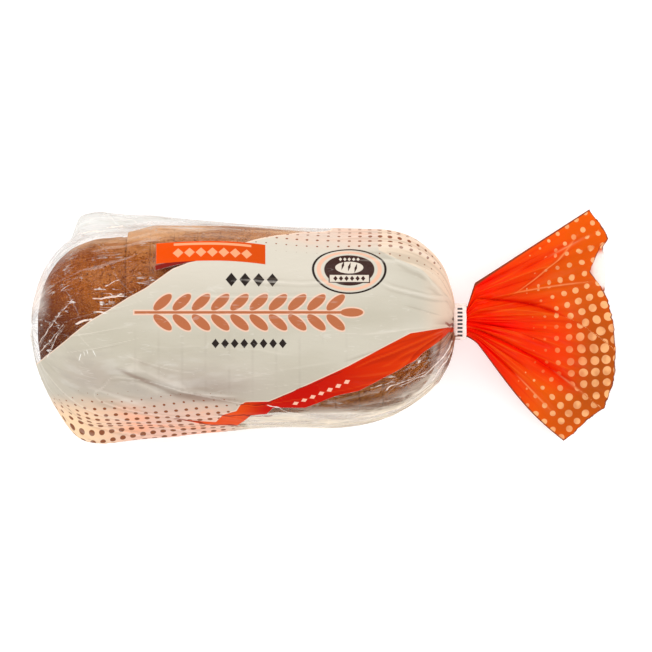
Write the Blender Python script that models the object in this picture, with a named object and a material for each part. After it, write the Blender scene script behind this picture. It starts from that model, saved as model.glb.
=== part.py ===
"""A sliced loaf in a printed bread bag, lying on its flat bottom with the printed panel up.

+X runs along the loaf from the sealed end to the gathered tail and +Z is up. All sizes are in metres.
"""

import math

import bmesh
import bpy
from mathutils import Matrix, Vector

NAME = "loaf_in_bread_bag"

# Places along the pack
SEALED_END_X = -0.161
NECK_X = 0.0712
TAIL_X = 0.0795

# The filled part of the bag
NEAR_SIDE = 0.0555
FAR_SIDE = 0.0525
MIDDLE_Z = 0.036
TOP_Z = 0.086
BOTTOM_OVERREACH = 1.14
SECTION_ROUNDNESS = 2.5
SEALED_END_REACH = 0.041
NEAR_SHOULDER_REACH = 0.066
FAR_SHOULDER_REACH = 0.042
TOP_SHOULDER_REACH = 0.048
SHOULDER_ROUNDNESS = 2.2

# The pressed side seams, which stand out as ears at the end seal; the near one starts further out
EAR_X = -0.130
EAR_WIDTH = 0.0105
EAR_FULL_X = -0.1335
FAR_EAR_START_X = -0.1395
NEAR_EAR_START_X = -0.1560
FAR_EAR_END_X = 0.020
NEAR_EAR_END_X = -0.010
EAR_DROOP = 0.5

# The gathered neck
NECK_Y = 0.002
NECK_Z = 0.030
NECK_HALF_WIDTH = 0.0085
NECK_HALF_HEIGHT = 0.0045

# The open end of the bag, spread out in pleats: corners of its free edge from the near to the far
# side, each as an angle in degrees seen from the neck and a distance from it
TAIL_CORNERS = (
    (-50.8, 0.0854),
    (-39.0, 0.0861),
    (-32.0, 0.0899),
    (-21.9, 0.0881),
    (-10.5, 0.0839),
    (4.1, 0.0802),
    (12.0, 0.0782),
    (23.3, 0.0842),
    (28.9, 0.0865),
    (30.4, 0.0915),
    (42.5, 0.0920),
)
TAIL_FAR_BULGE = 0.0103
TAIL_NEAR_SWAY = 0.0035
TAIL_EDGE_Z = 0.0088
TAIL_EDGE_THICKNESS = 0.0022
TAIL_LOOSENESS = 0.0040
PLEATS = 8
PLEAT_HEIGHT = 0.0042

# The band that holds the neck
BAND_X = 0.0753
BAND_WIDTH = 0.0070
BAND_WALL = 0.0012
GAP = 0.0003

# How finely the loft is divided
RING_POINTS = 96
END_RINGS = 10
MIDDLE_RINGS = 9
SHOULDER_RINGS = 12
TAIL_RINGS = 12


def clear_scene():
    for item in list(bpy.data.objects):
        bpy.data.objects.remove(item, do_unlink=True)


def new_collection(name):
    group = bpy.data.collections.new(name)
    bpy.context.scene.collection.children.link(group)
    return group


def new_material(name, colour, roughness):
    material = bpy.data.materials.new(name)
    material.use_nodes = True
    shader = material.node_tree.nodes["Principled BSDF"]
    shader.inputs["Base Color"].default_value = (*colour, 1.0)
    shader.inputs["Roughness"].default_value = roughness
    return material


def mix(start, end, share):
    return start + (end - start) * share


def smooth_step(share):
    share = min(1.0, max(0.0, share))
    return share * share * (3.0 - 2.0 * share)


def swell(distance, reach, roundness):
    """0 at an end of the bag and 1 from `reach` inwards, along a quarter of a superellipse."""
    left = max(0.0, 1.0 - distance / reach)
    return (1.0 - left**roundness) ** (1.0 / roundness)


def signed_power(value, power):
    return math.copysign(abs(value) ** power, value)


def ear(x, start_x, end_x):
    """How far a pressed side seam stands out at x: most at the end seal, and nothing from end_x on."""
    fade = max(0.0, (end_x - x) / (end_x - EAR_X))
    return EAR_WIDTH * min(fade, 1.0) ** 1.5 * smooth_step((x - start_x) / (EAR_FULL_X - start_x))


def body_ring(x):
    """One section of the filled bag: a squarish oval with a flat bottom and a pinched seam at both sides."""
    from_seal = max(x - SEALED_END_X, 0.0002)
    from_neck = max(NECK_X - x, 0.0)
    sealed = swell(from_seal, SEALED_END_REACH, 2.0)
    near = mix(NECK_HALF_WIDTH, NEAR_SIDE, swell(from_neck, NEAR_SHOULDER_REACH, 2.0))
    far = mix(NECK_HALF_WIDTH, FAR_SIDE, swell(from_neck, FAR_SHOULDER_REACH, SHOULDER_ROUNDNESS))
    rise = swell(from_neck, TOP_SHOULDER_REACH, SHOULDER_ROUNDNESS)
    middle = mix(NECK_Z, MIDDLE_Z, rise)
    above = mix(NECK_HALF_HEIGHT, TOP_Z - MIDDLE_Z, rise)
    below = mix(NECK_HALF_HEIGHT, MIDDLE_Z * BOTTOM_OVERREACH, rise)
    power = 2.0 / mix(2.0, SECTION_ROUNDNESS, smooth_step(from_neck / NECK_HALF_WIDTH))
    centre_y = NECK_Y * (1.0 - rise)
    far_ear = ear(x, FAR_EAR_START_X, FAR_EAR_END_X)
    near_ear = ear(x, NEAR_EAR_START_X, NEAR_EAR_END_X)
    ring = []
    for index in range(RING_POINTS):
        angle = 2.0 * math.pi * index / RING_POINTS
        across = signed_power(math.cos(angle), power)
        up = signed_power(math.sin(angle), power)
        width = far if across > 0.0 else near
        height = above if up > 0.0 else below
        seam = math.exp(-((math.sin(angle) / 0.11) ** 2)) * (far_ear if across > 0.0 else near_ear)
        y = centre_y + across * width * sealed + math.copysign(seam, across)
        z = max(0.0, middle + up * height * sealed - seam * EAR_DROOP)
        ring.append((x, y, z))
    return ring


def tail_edge(share):
    """The free edge of the tail in plan; share runs from -1 at the near corner to 1 at the far corner."""
    angle = mix(TAIL_CORNERS[0][0], TAIL_CORNERS[-1][0], (share + 1.0) / 2.0)
    radius = TAIL_CORNERS[-1][1]
    for (low, low_radius), (high, high_radius) in zip(TAIL_CORNERS, TAIL_CORNERS[1:]):
        if low <= angle <= high:
            radius = mix(low_radius, high_radius, (angle - low) / (high - low))
    turn = math.radians(angle)
    return TAIL_X + radius * math.cos(turn), NECK_Y + radius * math.sin(turn)


def tail_side_shift(share, reach):
    """How the tail's two side edges leave the straight line: the far one bulges and the near one sways."""
    bulge = TAIL_FAR_BULGE * max(share, 0.0) ** 2 * (1.0 - reach) * min(1.0, reach / 0.06)
    sway = TAIL_NEAR_SWAY * min(share, 0.0) ** 2 * math.sin(math.pi * (1.35 * reach - 0.35)) * min(1.0, reach / 0.1)
    return bulge - sway


def tail_ring(reach):
    """One ring of the pleated tail; reach is 0 at the neck and 1 at the free edge."""
    spread = smooth_step(reach / 0.3)
    fall = reach * reach * (2.0 - reach)
    middle = mix(NECK_Z, TAIL_EDGE_Z, fall)
    ring = []
    for index in range(RING_POINTS):
        angle = 2.0 * math.pi * index / RING_POINTS
        quarter = 4.0 * index / RING_POINTS
        even = 1.0 - quarter if quarter <= 2.0 else quarter - 3.0
        share = mix(math.cos(angle), even, spread)
        side = 1.0 if quarter <= 2.0 else -1.0
        edge_x, edge_y = tail_edge(share)
        x = mix(TAIL_X, edge_x, reach)
        y = mix(NECK_Y + share * NECK_HALF_WIDTH, edge_y, reach) + tail_side_shift(share, reach)
        flat_half = (TAIL_EDGE_THICKNESS + TAIL_LOOSENESS * (1.0 - share * share)) / 2.0
        half = mix(NECK_HALF_HEIGHT * abs(math.sin(angle)), flat_half, spread)
        pleat = PLEAT_HEIGHT * spread * math.sin(math.pi * PLEATS * even)
        ring.append((x, y, middle + side * half + pleat))
    return ring


def spaced(start, end, count, bunch_start, bunch_end):
    """Stations from start up to end, set closer where an end is round."""
    stations = []
    for index in range(count):
        share = index / count
        if bunch_start:
            share = 1.0 - math.cos(share * math.pi / 2.0)
        if bunch_end:
            share = math.sin(share * math.pi / 2.0)
        stations.append(mix(start, end, share))
    return stations


def bag_rings():
    round_end = SEALED_END_X + SEALED_END_REACH
    shoulder = NECK_X - NEAR_SHOULDER_REACH
    stations = spaced(SEALED_END_X + 0.0004, round_end, END_RINGS, True, False)
    stations += spaced(round_end, shoulder, MIDDLE_RINGS, False, False)
    stations += spaced(shoulder, NECK_X, SHOULDER_RINGS, False, True)
    rings = [body_ring(x) for x in stations]
    rings += [body_ring(NECK_X), body_ring(TAIL_X)]
    rings += [tail_ring((index / TAIL_RINGS) ** 1.3) for index in range(1, TAIL_RINGS + 1)]
    return rings


def make_bag(group):
    """The bag is one closed body, lofted ring by ring from the end seal through the neck to the tail."""
    shape = bmesh.new()
    rings = [[shape.verts.new(point) for point in ring] for ring in bag_rings()]
    for ring, next_ring in zip(rings, rings[1:]):
        for index in range(RING_POINTS):
            after = (index + 1) % RING_POINTS
            shape.faces.new((ring[index], ring[after], next_ring[after], next_ring[index]))
    shape.faces.new(list(reversed(rings[0])))
    edge = rings[-1]
    half = RING_POINTS // 2
    shape.faces.new((edge[0], edge[1], edge[RING_POINTS - 1]))
    shape.faces.new((edge[half], edge[half + 1], edge[half - 1]))
    for index in range(1, half - 1):
        over, over_next = edge[index], edge[index + 1]
        under, under_next = edge[-index], edge[-index - 1]
        shape.faces.new((over, over_next, under_next, under))
    bmesh.ops.recalc_face_normals(shape, faces=shape.faces)
    mesh = bpy.data.meshes.new("bag")
    shape.to_mesh(mesh)
    shape.free()
    for face in mesh.polygons:
        face.use_smooth = True
    bag = bpy.data.objects.new("bag", mesh)
    bag.data.materials.append(new_material("printed_film", (0.80, 0.42, 0.22), 0.25))
    group.objects.link(bag)
    return bag


def add_oval_tube(name, half_width, half_height, length):
    """A solid oval cylinder along X at the neck."""
    bpy.ops.mesh.primitive_cylinder_add(vertices=40, radius=1.0, depth=1.0)
    tube = bpy.context.object
    tube.name = name
    tube.data.name = name
    tube.rotation_euler = (0.0, math.pi / 2.0, 0.0)
    tube.scale = (half_height, half_width, length)
    tube.location = (BAND_X, NECK_Y, NECK_Z)
    bpy.ops.object.transform_apply(location=True, rotation=True, scale=True)
    return tube


def move_to(group, item):
    for owner in list(item.users_collection):
        owner.objects.unlink(item)
    group.objects.link(item)


def make_band(group, cutters):
    """The white band round the neck is a short oval tube that clears the film by the gap."""
    inner_width = NECK_HALF_WIDTH + GAP
    inner_height = NECK_HALF_HEIGHT + GAP
    band = add_oval_tube("neck_band", inner_width + BAND_WALL, inner_height + BAND_WALL, BAND_WIDTH)
    move_to(group, band)
    bore = add_oval_tube("neck_band_bore", inner_width, inner_height, BAND_WIDTH * 1.5)
    move_to(cutters, bore)
    bore.hide_render = True
    bore.display_type = "WIRE"
    cut = band.modifiers.new("bore", "BOOLEAN")
    cut.operation = "DIFFERENCE"
    cut.solver = "EXACT"
    cut.object = bore
    band.data.materials.append(new_material("white_band", (0.86, 0.80, 0.78), 0.45))
    for face in band.data.polygons:
        face.use_smooth = len(face.vertices) == 4
    return band, bore


def centre(body, others):
    """Move everything so that the body's box is centred over the origin and rests on z = 0."""
    corners = [vertex.co for vertex in body.data.vertices]
    shift = Vector(
        (
            -(min(point.x for point in corners) + max(point.x for point in corners)) / 2.0,
            -(min(point.y for point in corners) + max(point.y for point in corners)) / 2.0,
            -min(point.z for point in corners),
        )
    )
    for item in [body, *others]:
        item.data.transform(Matrix.Translation(shift))


def main():
    clear_scene()
    group = new_collection(NAME)
    cutters = new_collection("cutters")
    bag = make_bag(group)
    band, bore = make_band(group, cutters)
    centre(bag, [band, bore])


main()
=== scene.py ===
"""The looks of a sliced loaf in a printed film bag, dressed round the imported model.

+X runs along the loaf to the gathered tail, +Y is the far side in the picture, +Z is up, metres.
On the film, u runs along the loaf and v runs round it, both in metres over the film's own surface,
with u = 0 at the frame's origin and v = 0 along the middle of the printed panel.
"""

import math

import bpy
import numpy as np
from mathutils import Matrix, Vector


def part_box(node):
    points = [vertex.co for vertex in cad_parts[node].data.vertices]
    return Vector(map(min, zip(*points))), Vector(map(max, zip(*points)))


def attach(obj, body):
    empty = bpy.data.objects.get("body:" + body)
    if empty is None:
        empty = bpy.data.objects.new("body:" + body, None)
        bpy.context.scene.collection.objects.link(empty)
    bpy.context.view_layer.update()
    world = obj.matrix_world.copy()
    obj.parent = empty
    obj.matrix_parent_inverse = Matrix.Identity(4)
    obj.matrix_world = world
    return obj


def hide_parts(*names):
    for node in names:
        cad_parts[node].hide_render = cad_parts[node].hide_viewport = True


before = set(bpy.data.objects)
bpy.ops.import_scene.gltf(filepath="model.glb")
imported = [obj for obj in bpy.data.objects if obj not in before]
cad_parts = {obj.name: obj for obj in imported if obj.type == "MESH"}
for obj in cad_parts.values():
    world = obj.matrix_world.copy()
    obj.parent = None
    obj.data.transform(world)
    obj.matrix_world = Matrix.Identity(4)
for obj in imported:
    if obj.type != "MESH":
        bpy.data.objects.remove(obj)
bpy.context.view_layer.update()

# The picture: metres for each of its pixels at the loaf's middle height, and its middle
METRES_PER_PIXEL = 0.00055
PICTURE_SIZE = 652
CAMERA_HEIGHT = 3.0
CAMERA_X = 0.0008

# The same named sizes as in the solids
SEALED_END_X = -0.161
NECK_X = 0.0712
TAIL_X = 0.0795
NEAR_SIDE = 0.0555
FAR_SIDE = 0.0525
MIDDLE_Z = 0.036
TOP_Z = 0.086
BOTTOM_OVERREACH = 1.14
SECTION_ROUNDNESS = 2.5
SEALED_END_REACH = 0.041
NEAR_SHOULDER_REACH = 0.066
FAR_SHOULDER_REACH = 0.042
TOP_SHOULDER_REACH = 0.048
SHOULDER_ROUNDNESS = 2.2
EAR_X = -0.130
EAR_WIDTH = 0.0105
EAR_FULL_X = -0.1335
FAR_EAR_START_X = -0.1395
NEAR_EAR_START_X = -0.1560
FAR_EAR_END_X = 0.020
NEAR_EAR_END_X = -0.010
EAR_DROOP = 0.5
NECK_Y = 0.002
NECK_Z = 0.030
NECK_HALF_WIDTH = 0.0085
NECK_HALF_HEIGHT = 0.0045
TAIL_CORNERS = (
    (-50.8, 0.0854),
    (-39.0, 0.0861),
    (-32.0, 0.0899),
    (-21.9, 0.0881),
    (-10.5, 0.0839),
    (4.1, 0.0802),
    (12.0, 0.0782),
    (23.3, 0.0842),
    (28.9, 0.0865),
    (30.4, 0.0915),
    (42.5, 0.0920),
)
TAIL_FAR_BULGE = 0.0103
TAIL_NEAR_SWAY = 0.0035
TAIL_EDGE_Z = 0.0088
TAIL_EDGE_THICKNESS = 0.0022
TAIL_LOOSENESS = 0.0040

# The solids are centred after they are made, so every piece made here takes the same small shift
BAND_MIDDLE_X = 0.0753
BAND_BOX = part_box("neck_band")
SHIFT = np.array(
    (
        (BAND_BOX[0].x + BAND_BOX[1].x) / 2.0 - BAND_MIDDLE_X,
        (BAND_BOX[0].y + BAND_BOX[1].y) / 2.0 - NECK_Y,
        0.0,
    )
)

# The loaf
LOAF_START = -0.1568
LOAF_END = 0.0660
LOAF_CENTRE_Y = 0.0020
LOAF_HALF_WIDTH = 0.0500
LOAF_MIDDLE_Z = 0.0370
LOAF_TOP_Z = 0.0838
LOAF_BOTTOM_Z = 0.0012
SLICE_THICKNESS = 0.0127
SLICE_GAP = 0.00003
HEEL_THICKNESS = 0.0500

# The print: faint slice lines for each metre along the film, and the pitch of the dots in metres
SLICE_LINES = 78.7
BODY_DOT_PITCH = 0.0056
TAIL_DOT_PITCH = 0.0066

# Printed outlines on the film, as places seen from above; below the widest line they run on round the side
BAND_UPPER_EDGE = (
    (0.0800, -0.0011),
    (0.0677, -0.0011),
    (0.0473, -0.0043),
    (0.0138, -0.0220),
    (-0.0171, -0.0364),
    (-0.0296, -0.0415),
    (-0.0420, -0.0419),
    (-0.0448, -0.0433),
    (-0.0471, -0.0470),
    (-0.0549, -0.0490),
    (-0.0584, -0.0525),
)
BAND_LOWER_EDGE = (
    (-0.0790, -0.0510),
    (-0.0606, -0.0541),
    (-0.0471, -0.0548),
    (-0.0412, -0.0508),
    (-0.0392, -0.0492),
    (-0.0307, -0.0485),
    (-0.0272, -0.0451),
    (-0.0098, -0.0451),
    (0.0067, -0.0385),
    (0.0193, -0.0357),
    (0.0345, -0.0276),
    (0.0492, -0.0194),
    (0.0617, -0.0094),
    (0.0685, -0.0039),
    (0.0800, -0.0030),
)
PANEL_UPPER_EDGE = (
    (-0.1700, -0.0290),
    (-0.1517, -0.0171),
    (-0.1416, -0.0097),
    (-0.1322, -0.0022),
    (-0.1256, 0.0029),
    (-0.1162, 0.0083),
    (-0.1054, 0.0152),
    (-0.0961, 0.0199),
    (-0.0814, 0.0293),
    (-0.0682, 0.0338),
    (-0.0378, 0.0440),
    (-0.0246, 0.0478),
    (-0.0124, 0.0505),
    (0.0040, 0.0522),
    (0.0140, 0.0600),
    (0.0300, 0.1200),
    (0.0800, 0.1200),
)
# The warm, dotted side of the crease that runs over the far shoulder to the neck
SHOULDER_CORNER = (
    (0.0300, 0.0410),
    (0.0370, 0.0378),
    (0.0534, 0.0296),
    (0.0679, 0.0159),
    (0.0740, 0.0060),
    (0.0900, 0.0900),
    (0.0300, 0.0900),
)
PANEL_NEAR_CORNER = (
    (-0.0400, -0.0565),
    (-0.0430, -0.0700),
    (-0.0700, -0.0850),
    (-0.1700, -0.0850),
)

# Folds of the loose film: start and end seen from above, half width and height at the crest; height below
# zero is a furrow
FILM_FOLDS = (
    ((-0.1120, -0.0200), (-0.0600, -0.0395), 0.0046, 0.0022),
    ((-0.1060, -0.0280), (-0.0620, -0.0425), 0.0036, -0.0013),
    ((-0.1110, -0.0150), (-0.0770, -0.0290), 0.0046, 0.0010),
    ((-0.0850, -0.0352), (-0.0470, -0.0380), 0.0016, 0.0009),
    ((-0.1380, -0.0120), (-0.1230, -0.0300), 0.0050, 0.0014),
    ((-0.1300, -0.0330), (-0.0900, -0.0450), 0.0034, 0.0012),
    ((0.0710, 0.0130), (0.0325, 0.0228), 0.0013, 0.0011),
    ((0.0720, 0.0100), (0.0500, 0.0325), 0.0015, 0.0013),
    ((0.0600, 0.0255), (0.0340, 0.0390), 0.0015, 0.0012),
    ((0.0690, 0.0050), (0.0420, 0.0120), 0.0016, -0.0007),
    ((0.0640, -0.0010), (0.0168, -0.0050), 0.0018, 0.0007),
    ((-0.0450, 0.0235), (0.0100, 0.0225), 0.0012, 0.0005),
    ((-0.0700, 0.0160), (0.0050, 0.0145), 0.0013, 0.0004),
    ((-0.1000, -0.0100), (-0.0100, -0.0160), 0.0034, 0.0008),
    ((-0.0560, -0.0300), (0.0100, -0.0190), 0.0032, 0.0007),
    ((-0.1270, 0.0400), (-0.0900, 0.0430), 0.0020, 0.0014),
    ((-0.1250, 0.0490), (-0.0500, 0.0500), 0.0016, 0.0013),
    ((-0.1350, 0.0280), (-0.1000, 0.0385), 0.0015, 0.0009),
    ((-0.1240, 0.0150), (-0.1010, 0.0190), 0.0012, 0.0008),
    ((-0.1560, -0.0120), (-0.1400, 0.0090), 0.0011, 0.0011),
    ((-0.1480, -0.0130), (-0.1400, 0.0000), 0.0011, 0.0010),
)
# Soft shade and light beside the big folds of the pale print: start, end, half width, and how dark it is
SHADED_FOLDS = (
    ((-0.1140, -0.0235), (-0.0780, -0.0392), 0.0018, 0.90),
    ((-0.0850, -0.0388), (-0.0440, -0.0418), 0.0023, 1.30),
    ((-0.1240, -0.0345), (-0.0840, -0.0434), 0.0008, 0.60),
    ((-0.1450, -0.0150), (-0.1090, -0.0320), 0.0095, 0.42),
    ((-0.0800, -0.0315), (-0.0300, -0.0335), 0.0065, 0.46),
    ((-0.1080, -0.0185), (-0.0780, -0.0270), 0.0015, 0.45),
    ((-0.1110, -0.0275), (-0.0800, -0.0412), 0.0015, -0.70),
    ((-0.0850, -0.0358), (-0.0470, -0.0388), 0.0008, -0.55),
    ((-0.1200, -0.0190), (-0.0880, -0.0295), 0.0016, -0.45),
)
# Bright glints along sharp creases of the upper film: start and end seen from above, half width
GLINT_LINES = (
    ((-0.1568, -0.0105), (-0.1471, 0.0024), 0.00014),
    ((-0.1471, 0.0024), (-0.1374, 0.0134), 0.00010),
    ((-0.1555, -0.0149), (-0.1420, -0.0002), 0.00012),
    ((-0.1503, -0.0162), (-0.1439, -0.0027), 0.00012),
    ((-0.1255, 0.0150), (-0.1080, 0.0158), 0.00026),
    ((-0.1240, 0.0078), (-0.1176, 0.0072), 0.00036),
    ((-0.1353, 0.0020), (-0.1262, 0.0033), 0.00050),
    ((-0.1185, 0.0215), (-0.1110, 0.0240), 0.00014),
    ((-0.1334, 0.0506), (-0.1208, 0.0511), 0.00036),
    ((-0.1196, 0.0539), (-0.1106, 0.0550), 0.00022),
    ((-0.0314, -0.0427), (-0.0130, -0.0486), 0.00010),
    ((0.0256, -0.0338), (0.0590, -0.0262), 0.00008),
    ((0.0700, -0.0092), (0.0631, -0.0195), 0.00024),
    ((0.0631, -0.0195), (0.0544, -0.0265), 0.00022),
    ((0.0544, -0.0265), (0.0400, -0.0334), 0.00018),
    ((0.0700, -0.0135), (0.0590, -0.0300), 0.00020),
    ((0.0590, -0.0230), (0.0340, -0.0340), 0.00014),
    ((-0.1320, -0.0150), (-0.1328, -0.0178), 0.00016),
    ((-0.1303, -0.0138), (-0.1297, -0.0160), 0.00016),
    ((-0.1284, -0.0143), (-0.1278, -0.0165), 0.00012),
    ((-0.1250, -0.0143), (-0.1240, -0.0164), 0.00012),
)
# Dark lines of painted shade where the printed film folds under itself, given the same way
FOLD_SHADE_LINES = (
    ((-0.0817, -0.0512), (-0.0476, -0.0556), 0.00034),
    ((-0.0580, -0.0494), (-0.0290, -0.0484), 0.00028),
    ((-0.0460, -0.0428), (-0.0290, -0.0420), 0.00024),
    ((-0.0322, -0.0424), (0.0101, -0.0242), 0.00020),
    ((0.0665, 0.0010), (0.0740, 0.0006), 0.00075),
)
# Fine folds that fan out from the neck over the near shoulder: how many, and the angles in degrees
# seen from above between which they lie
SHOULDER_FOLDS = 9
SHOULDER_FOLD_ANGLES = (198.0, 258.0)

# How finely the films and the band are divided; the cap's rows close the sealed end of the bag, and the
# tail's first rows lie inside the band
FILM_ROWS = 300
CAP_ROWS = 5
FILM_COLUMNS = 298
TAIL_ROWS = 130
TAIL_ROWS_IN_BAND = 4
TAIL_COLUMNS = 380
BAND_COLUMNS = 96

# The floor and its faint light, and the narrow lamps that glint on the crinkles
FLOOR_HALF_SIZE = 3.0
FLOOR_GLOW = 0.34
WORLD_BRIGHTNESS = 1.20
STRIP_WIDTH = 0.016
STRIP_POWER = 1.8


def step(value, start, end):
    """A smooth rise from 0 at start to 1 at end."""
    share = np.clip((value - start) / (end - start), 0.0, 1.0)
    return share * share * (3.0 - 2.0 * share)


def blend(low, high, share):
    return low + (high - low) * share


def swell(distance, reach, roundness):
    left = np.clip(1.0 - distance / reach, 0.0, 1.0)
    return (1.0 - left**roundness) ** (1.0 / roundness)


def signed_power(value, power):
    return np.copysign(np.abs(value) ** power, value)


def value_noise(a, b, seed):
    """A smooth random field between -1 and 1 that changes over about one unit of a and b."""
    table = np.random.default_rng(seed).uniform(-1.0, 1.0, (64, 64))
    column = np.floor(a).astype(int)
    row = np.floor(b).astype(int)
    across = a - column
    along = b - row
    across = across * across * (3.0 - 2.0 * across)
    along = along * along * (3.0 - 2.0 * along)
    low = blend(table[row % 64, column % 64], table[row % 64, (column + 1) % 64], across)
    high = blend(table[(row + 1) % 64, column % 64], table[(row + 1) % 64, (column + 1) % 64], across)
    return blend(low, high, along)


def turned(u, v, angle):
    """Places along and across a direction given in degrees from u towards v."""
    turn = math.radians(angle)
    return u * math.cos(turn) + v * math.sin(turn), v * math.cos(turn) - u * math.sin(turn)


def turned_noise(u, v, angle, long_cell, short_cell, seed):
    """Noise drawn out along a direction given in degrees from u towards v."""
    along, across = turned(u, v, angle)
    return value_noise(along / long_cell + 31.7, across / short_cell + 17.3, seed)


def ridges(noise, sharpness):
    """Turns smooth noise into folds whose crests are narrow."""
    return (1.0 - np.abs(noise)) ** sharpness


def ear(x, start_x, end_x):
    fade = np.clip((end_x - x) / (end_x - EAR_X), 0.0, 1.0)
    return EAR_WIDTH * fade**1.5 * step(x, start_x, EAR_FULL_X)


def body_point(x, angle, ears=1.0):
    """The filled bag's surface, as in the solids; angle is 0 at the far side, a quarter turn at the top."""
    from_seal = np.maximum(x - SEALED_END_X, 0.0002)
    from_neck = np.maximum(NECK_X - x, 0.0)
    sealed = swell(from_seal, SEALED_END_REACH, 2.0)
    near = blend(NECK_HALF_WIDTH, NEAR_SIDE, swell(from_neck, NEAR_SHOULDER_REACH, 2.0))
    far = blend(NECK_HALF_WIDTH, FAR_SIDE, swell(from_neck, FAR_SHOULDER_REACH, SHOULDER_ROUNDNESS))
    rise = swell(from_neck, TOP_SHOULDER_REACH, SHOULDER_ROUNDNESS)
    middle = blend(NECK_Z, MIDDLE_Z, rise)
    above = blend(NECK_HALF_HEIGHT, TOP_Z - MIDDLE_Z, rise)
    below = blend(NECK_HALF_HEIGHT, MIDDLE_Z * BOTTOM_OVERREACH, rise)
    power = 2.0 / blend(2.0, SECTION_ROUNDNESS, step(from_neck, 0.0, NECK_HALF_WIDTH))
    across = signed_power(np.cos(angle), power)
    up = signed_power(np.sin(angle), power)
    width = np.where(across > 0.0, far, near)
    height = np.where(up > 0.0, above, below)
    far_ear = ear(x, FAR_EAR_START_X, FAR_EAR_END_X)
    near_ear = ear(x, NEAR_EAR_START_X, NEAR_EAR_END_X)
    seam = ears * np.exp(-((np.sin(angle) / 0.11) ** 2)) * np.where(across > 0.0, far_ear, near_ear)
    y = NECK_Y * (1.0 - rise) + across * width * sealed + np.copysign(seam, across)
    z = np.maximum(0.0, middle + up * height * sealed - seam * EAR_DROOP)
    return y, z


def lengths_along(*coordinates):
    pieces = np.sqrt(sum(np.diff(line) ** 2 for line in coordinates))
    return np.concatenate(([0.0], np.cumsum(pieces)))


def film_stations():
    """Stations along the bag, even along its top line, with their length u on the film."""
    x = np.linspace(SEALED_END_X + 0.00005, TAIL_X - 0.0040, 6000)
    z = body_point(x, math.pi / 2.0)[1]
    u = lengths_along(x, z)
    u = u - np.interp(0.0, x, u)
    even = np.linspace(u[0], u[-1], FILM_ROWS)
    return np.interp(even, u, x), even


def film_angles():
    """Angles round the bag with their length v from the top line, set closest at the top."""
    angle = np.linspace(-math.pi / 2.0, 1.5 * math.pi, 6001)
    y, z = body_point(np.full_like(angle, -0.05), angle)
    v = lengths_along(y, z)
    v = np.interp(math.pi / 2.0, angle, v) - v
    share = np.linspace(0.0, 1.0, FILM_COLUMNS + 1)
    share = share + 0.45 * np.sin(2.0 * math.pi * share) / (2.0 * math.pi)
    spaced = blend(v[0], v[-1], share)
    return np.interp(-spaced, -v, angle), spaced


def grid_normals(points, closed):
    """Outward normals of a grid of points laid out as rows along and columns round."""
    along = np.gradient(points, axis=0)
    if closed:
        round_about = np.roll(points, -1, axis=1) - np.roll(points, 1, axis=1)
    else:
        round_about = np.gradient(points, axis=1)
    normal = np.cross(round_about, along)
    return normal / np.maximum(np.linalg.norm(normal, axis=2, keepdims=True), 1e-12)


def grid_mesh(name, points, u, v, closed, fields):
    """A mesh from a grid of points, with the film's own lengths as its UV map and named point fields."""
    rows, columns = points.shape[:2]
    spans = columns if closed else columns - 1
    row, column = np.meshgrid(np.arange(rows - 1), np.arange(spans), indexing="ij")
    after = (column + 1) % columns
    here, there = row * columns, (row + 1) * columns
    corners = np.stack((here + column, here + after, there + after, there + column), axis=-1).reshape(-1, 4)
    mesh = bpy.data.meshes.new(name)
    mesh.vertices.add(rows * columns)
    mesh.vertices.foreach_set("co", (points + SHIFT).reshape(-1))
    mesh.loops.add(corners.size)
    mesh.loops.foreach_set("vertex_index", corners.reshape(-1))
    mesh.polygons.add(len(corners))
    mesh.polygons.foreach_set("loop_start", np.arange(len(corners)) * 4)
    mesh.update(calc_edges=True)
    mesh.polygons.foreach_set("use_smooth", np.ones(len(corners), bool))
    uv = mesh.uv_layers.new(name="film")
    u_corners = np.stack((u[row, column], u[row, column], u[row + 1, column], u[row + 1, column]), axis=-1)
    wide = column + 1 if v.shape[1] > columns else after
    v_corners = np.stack((v[row, column], v[row, wide], v[row + 1, wide], v[row + 1, column]), axis=-1)
    uv.data.foreach_set("uv", np.stack((u_corners, v_corners), axis=-1).reshape(-1))
    for field, values in fields.items():
        layer = mesh.attributes.new(field, "FLOAT", "POINT")
        layer.data.foreach_set("value", values.astype(np.float32).reshape(-1))
    piece = bpy.data.objects.new(name, mesh)
    bpy.context.scene.collection.objects.link(piece)
    return piece


# Materials are built from a few short calls

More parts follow.
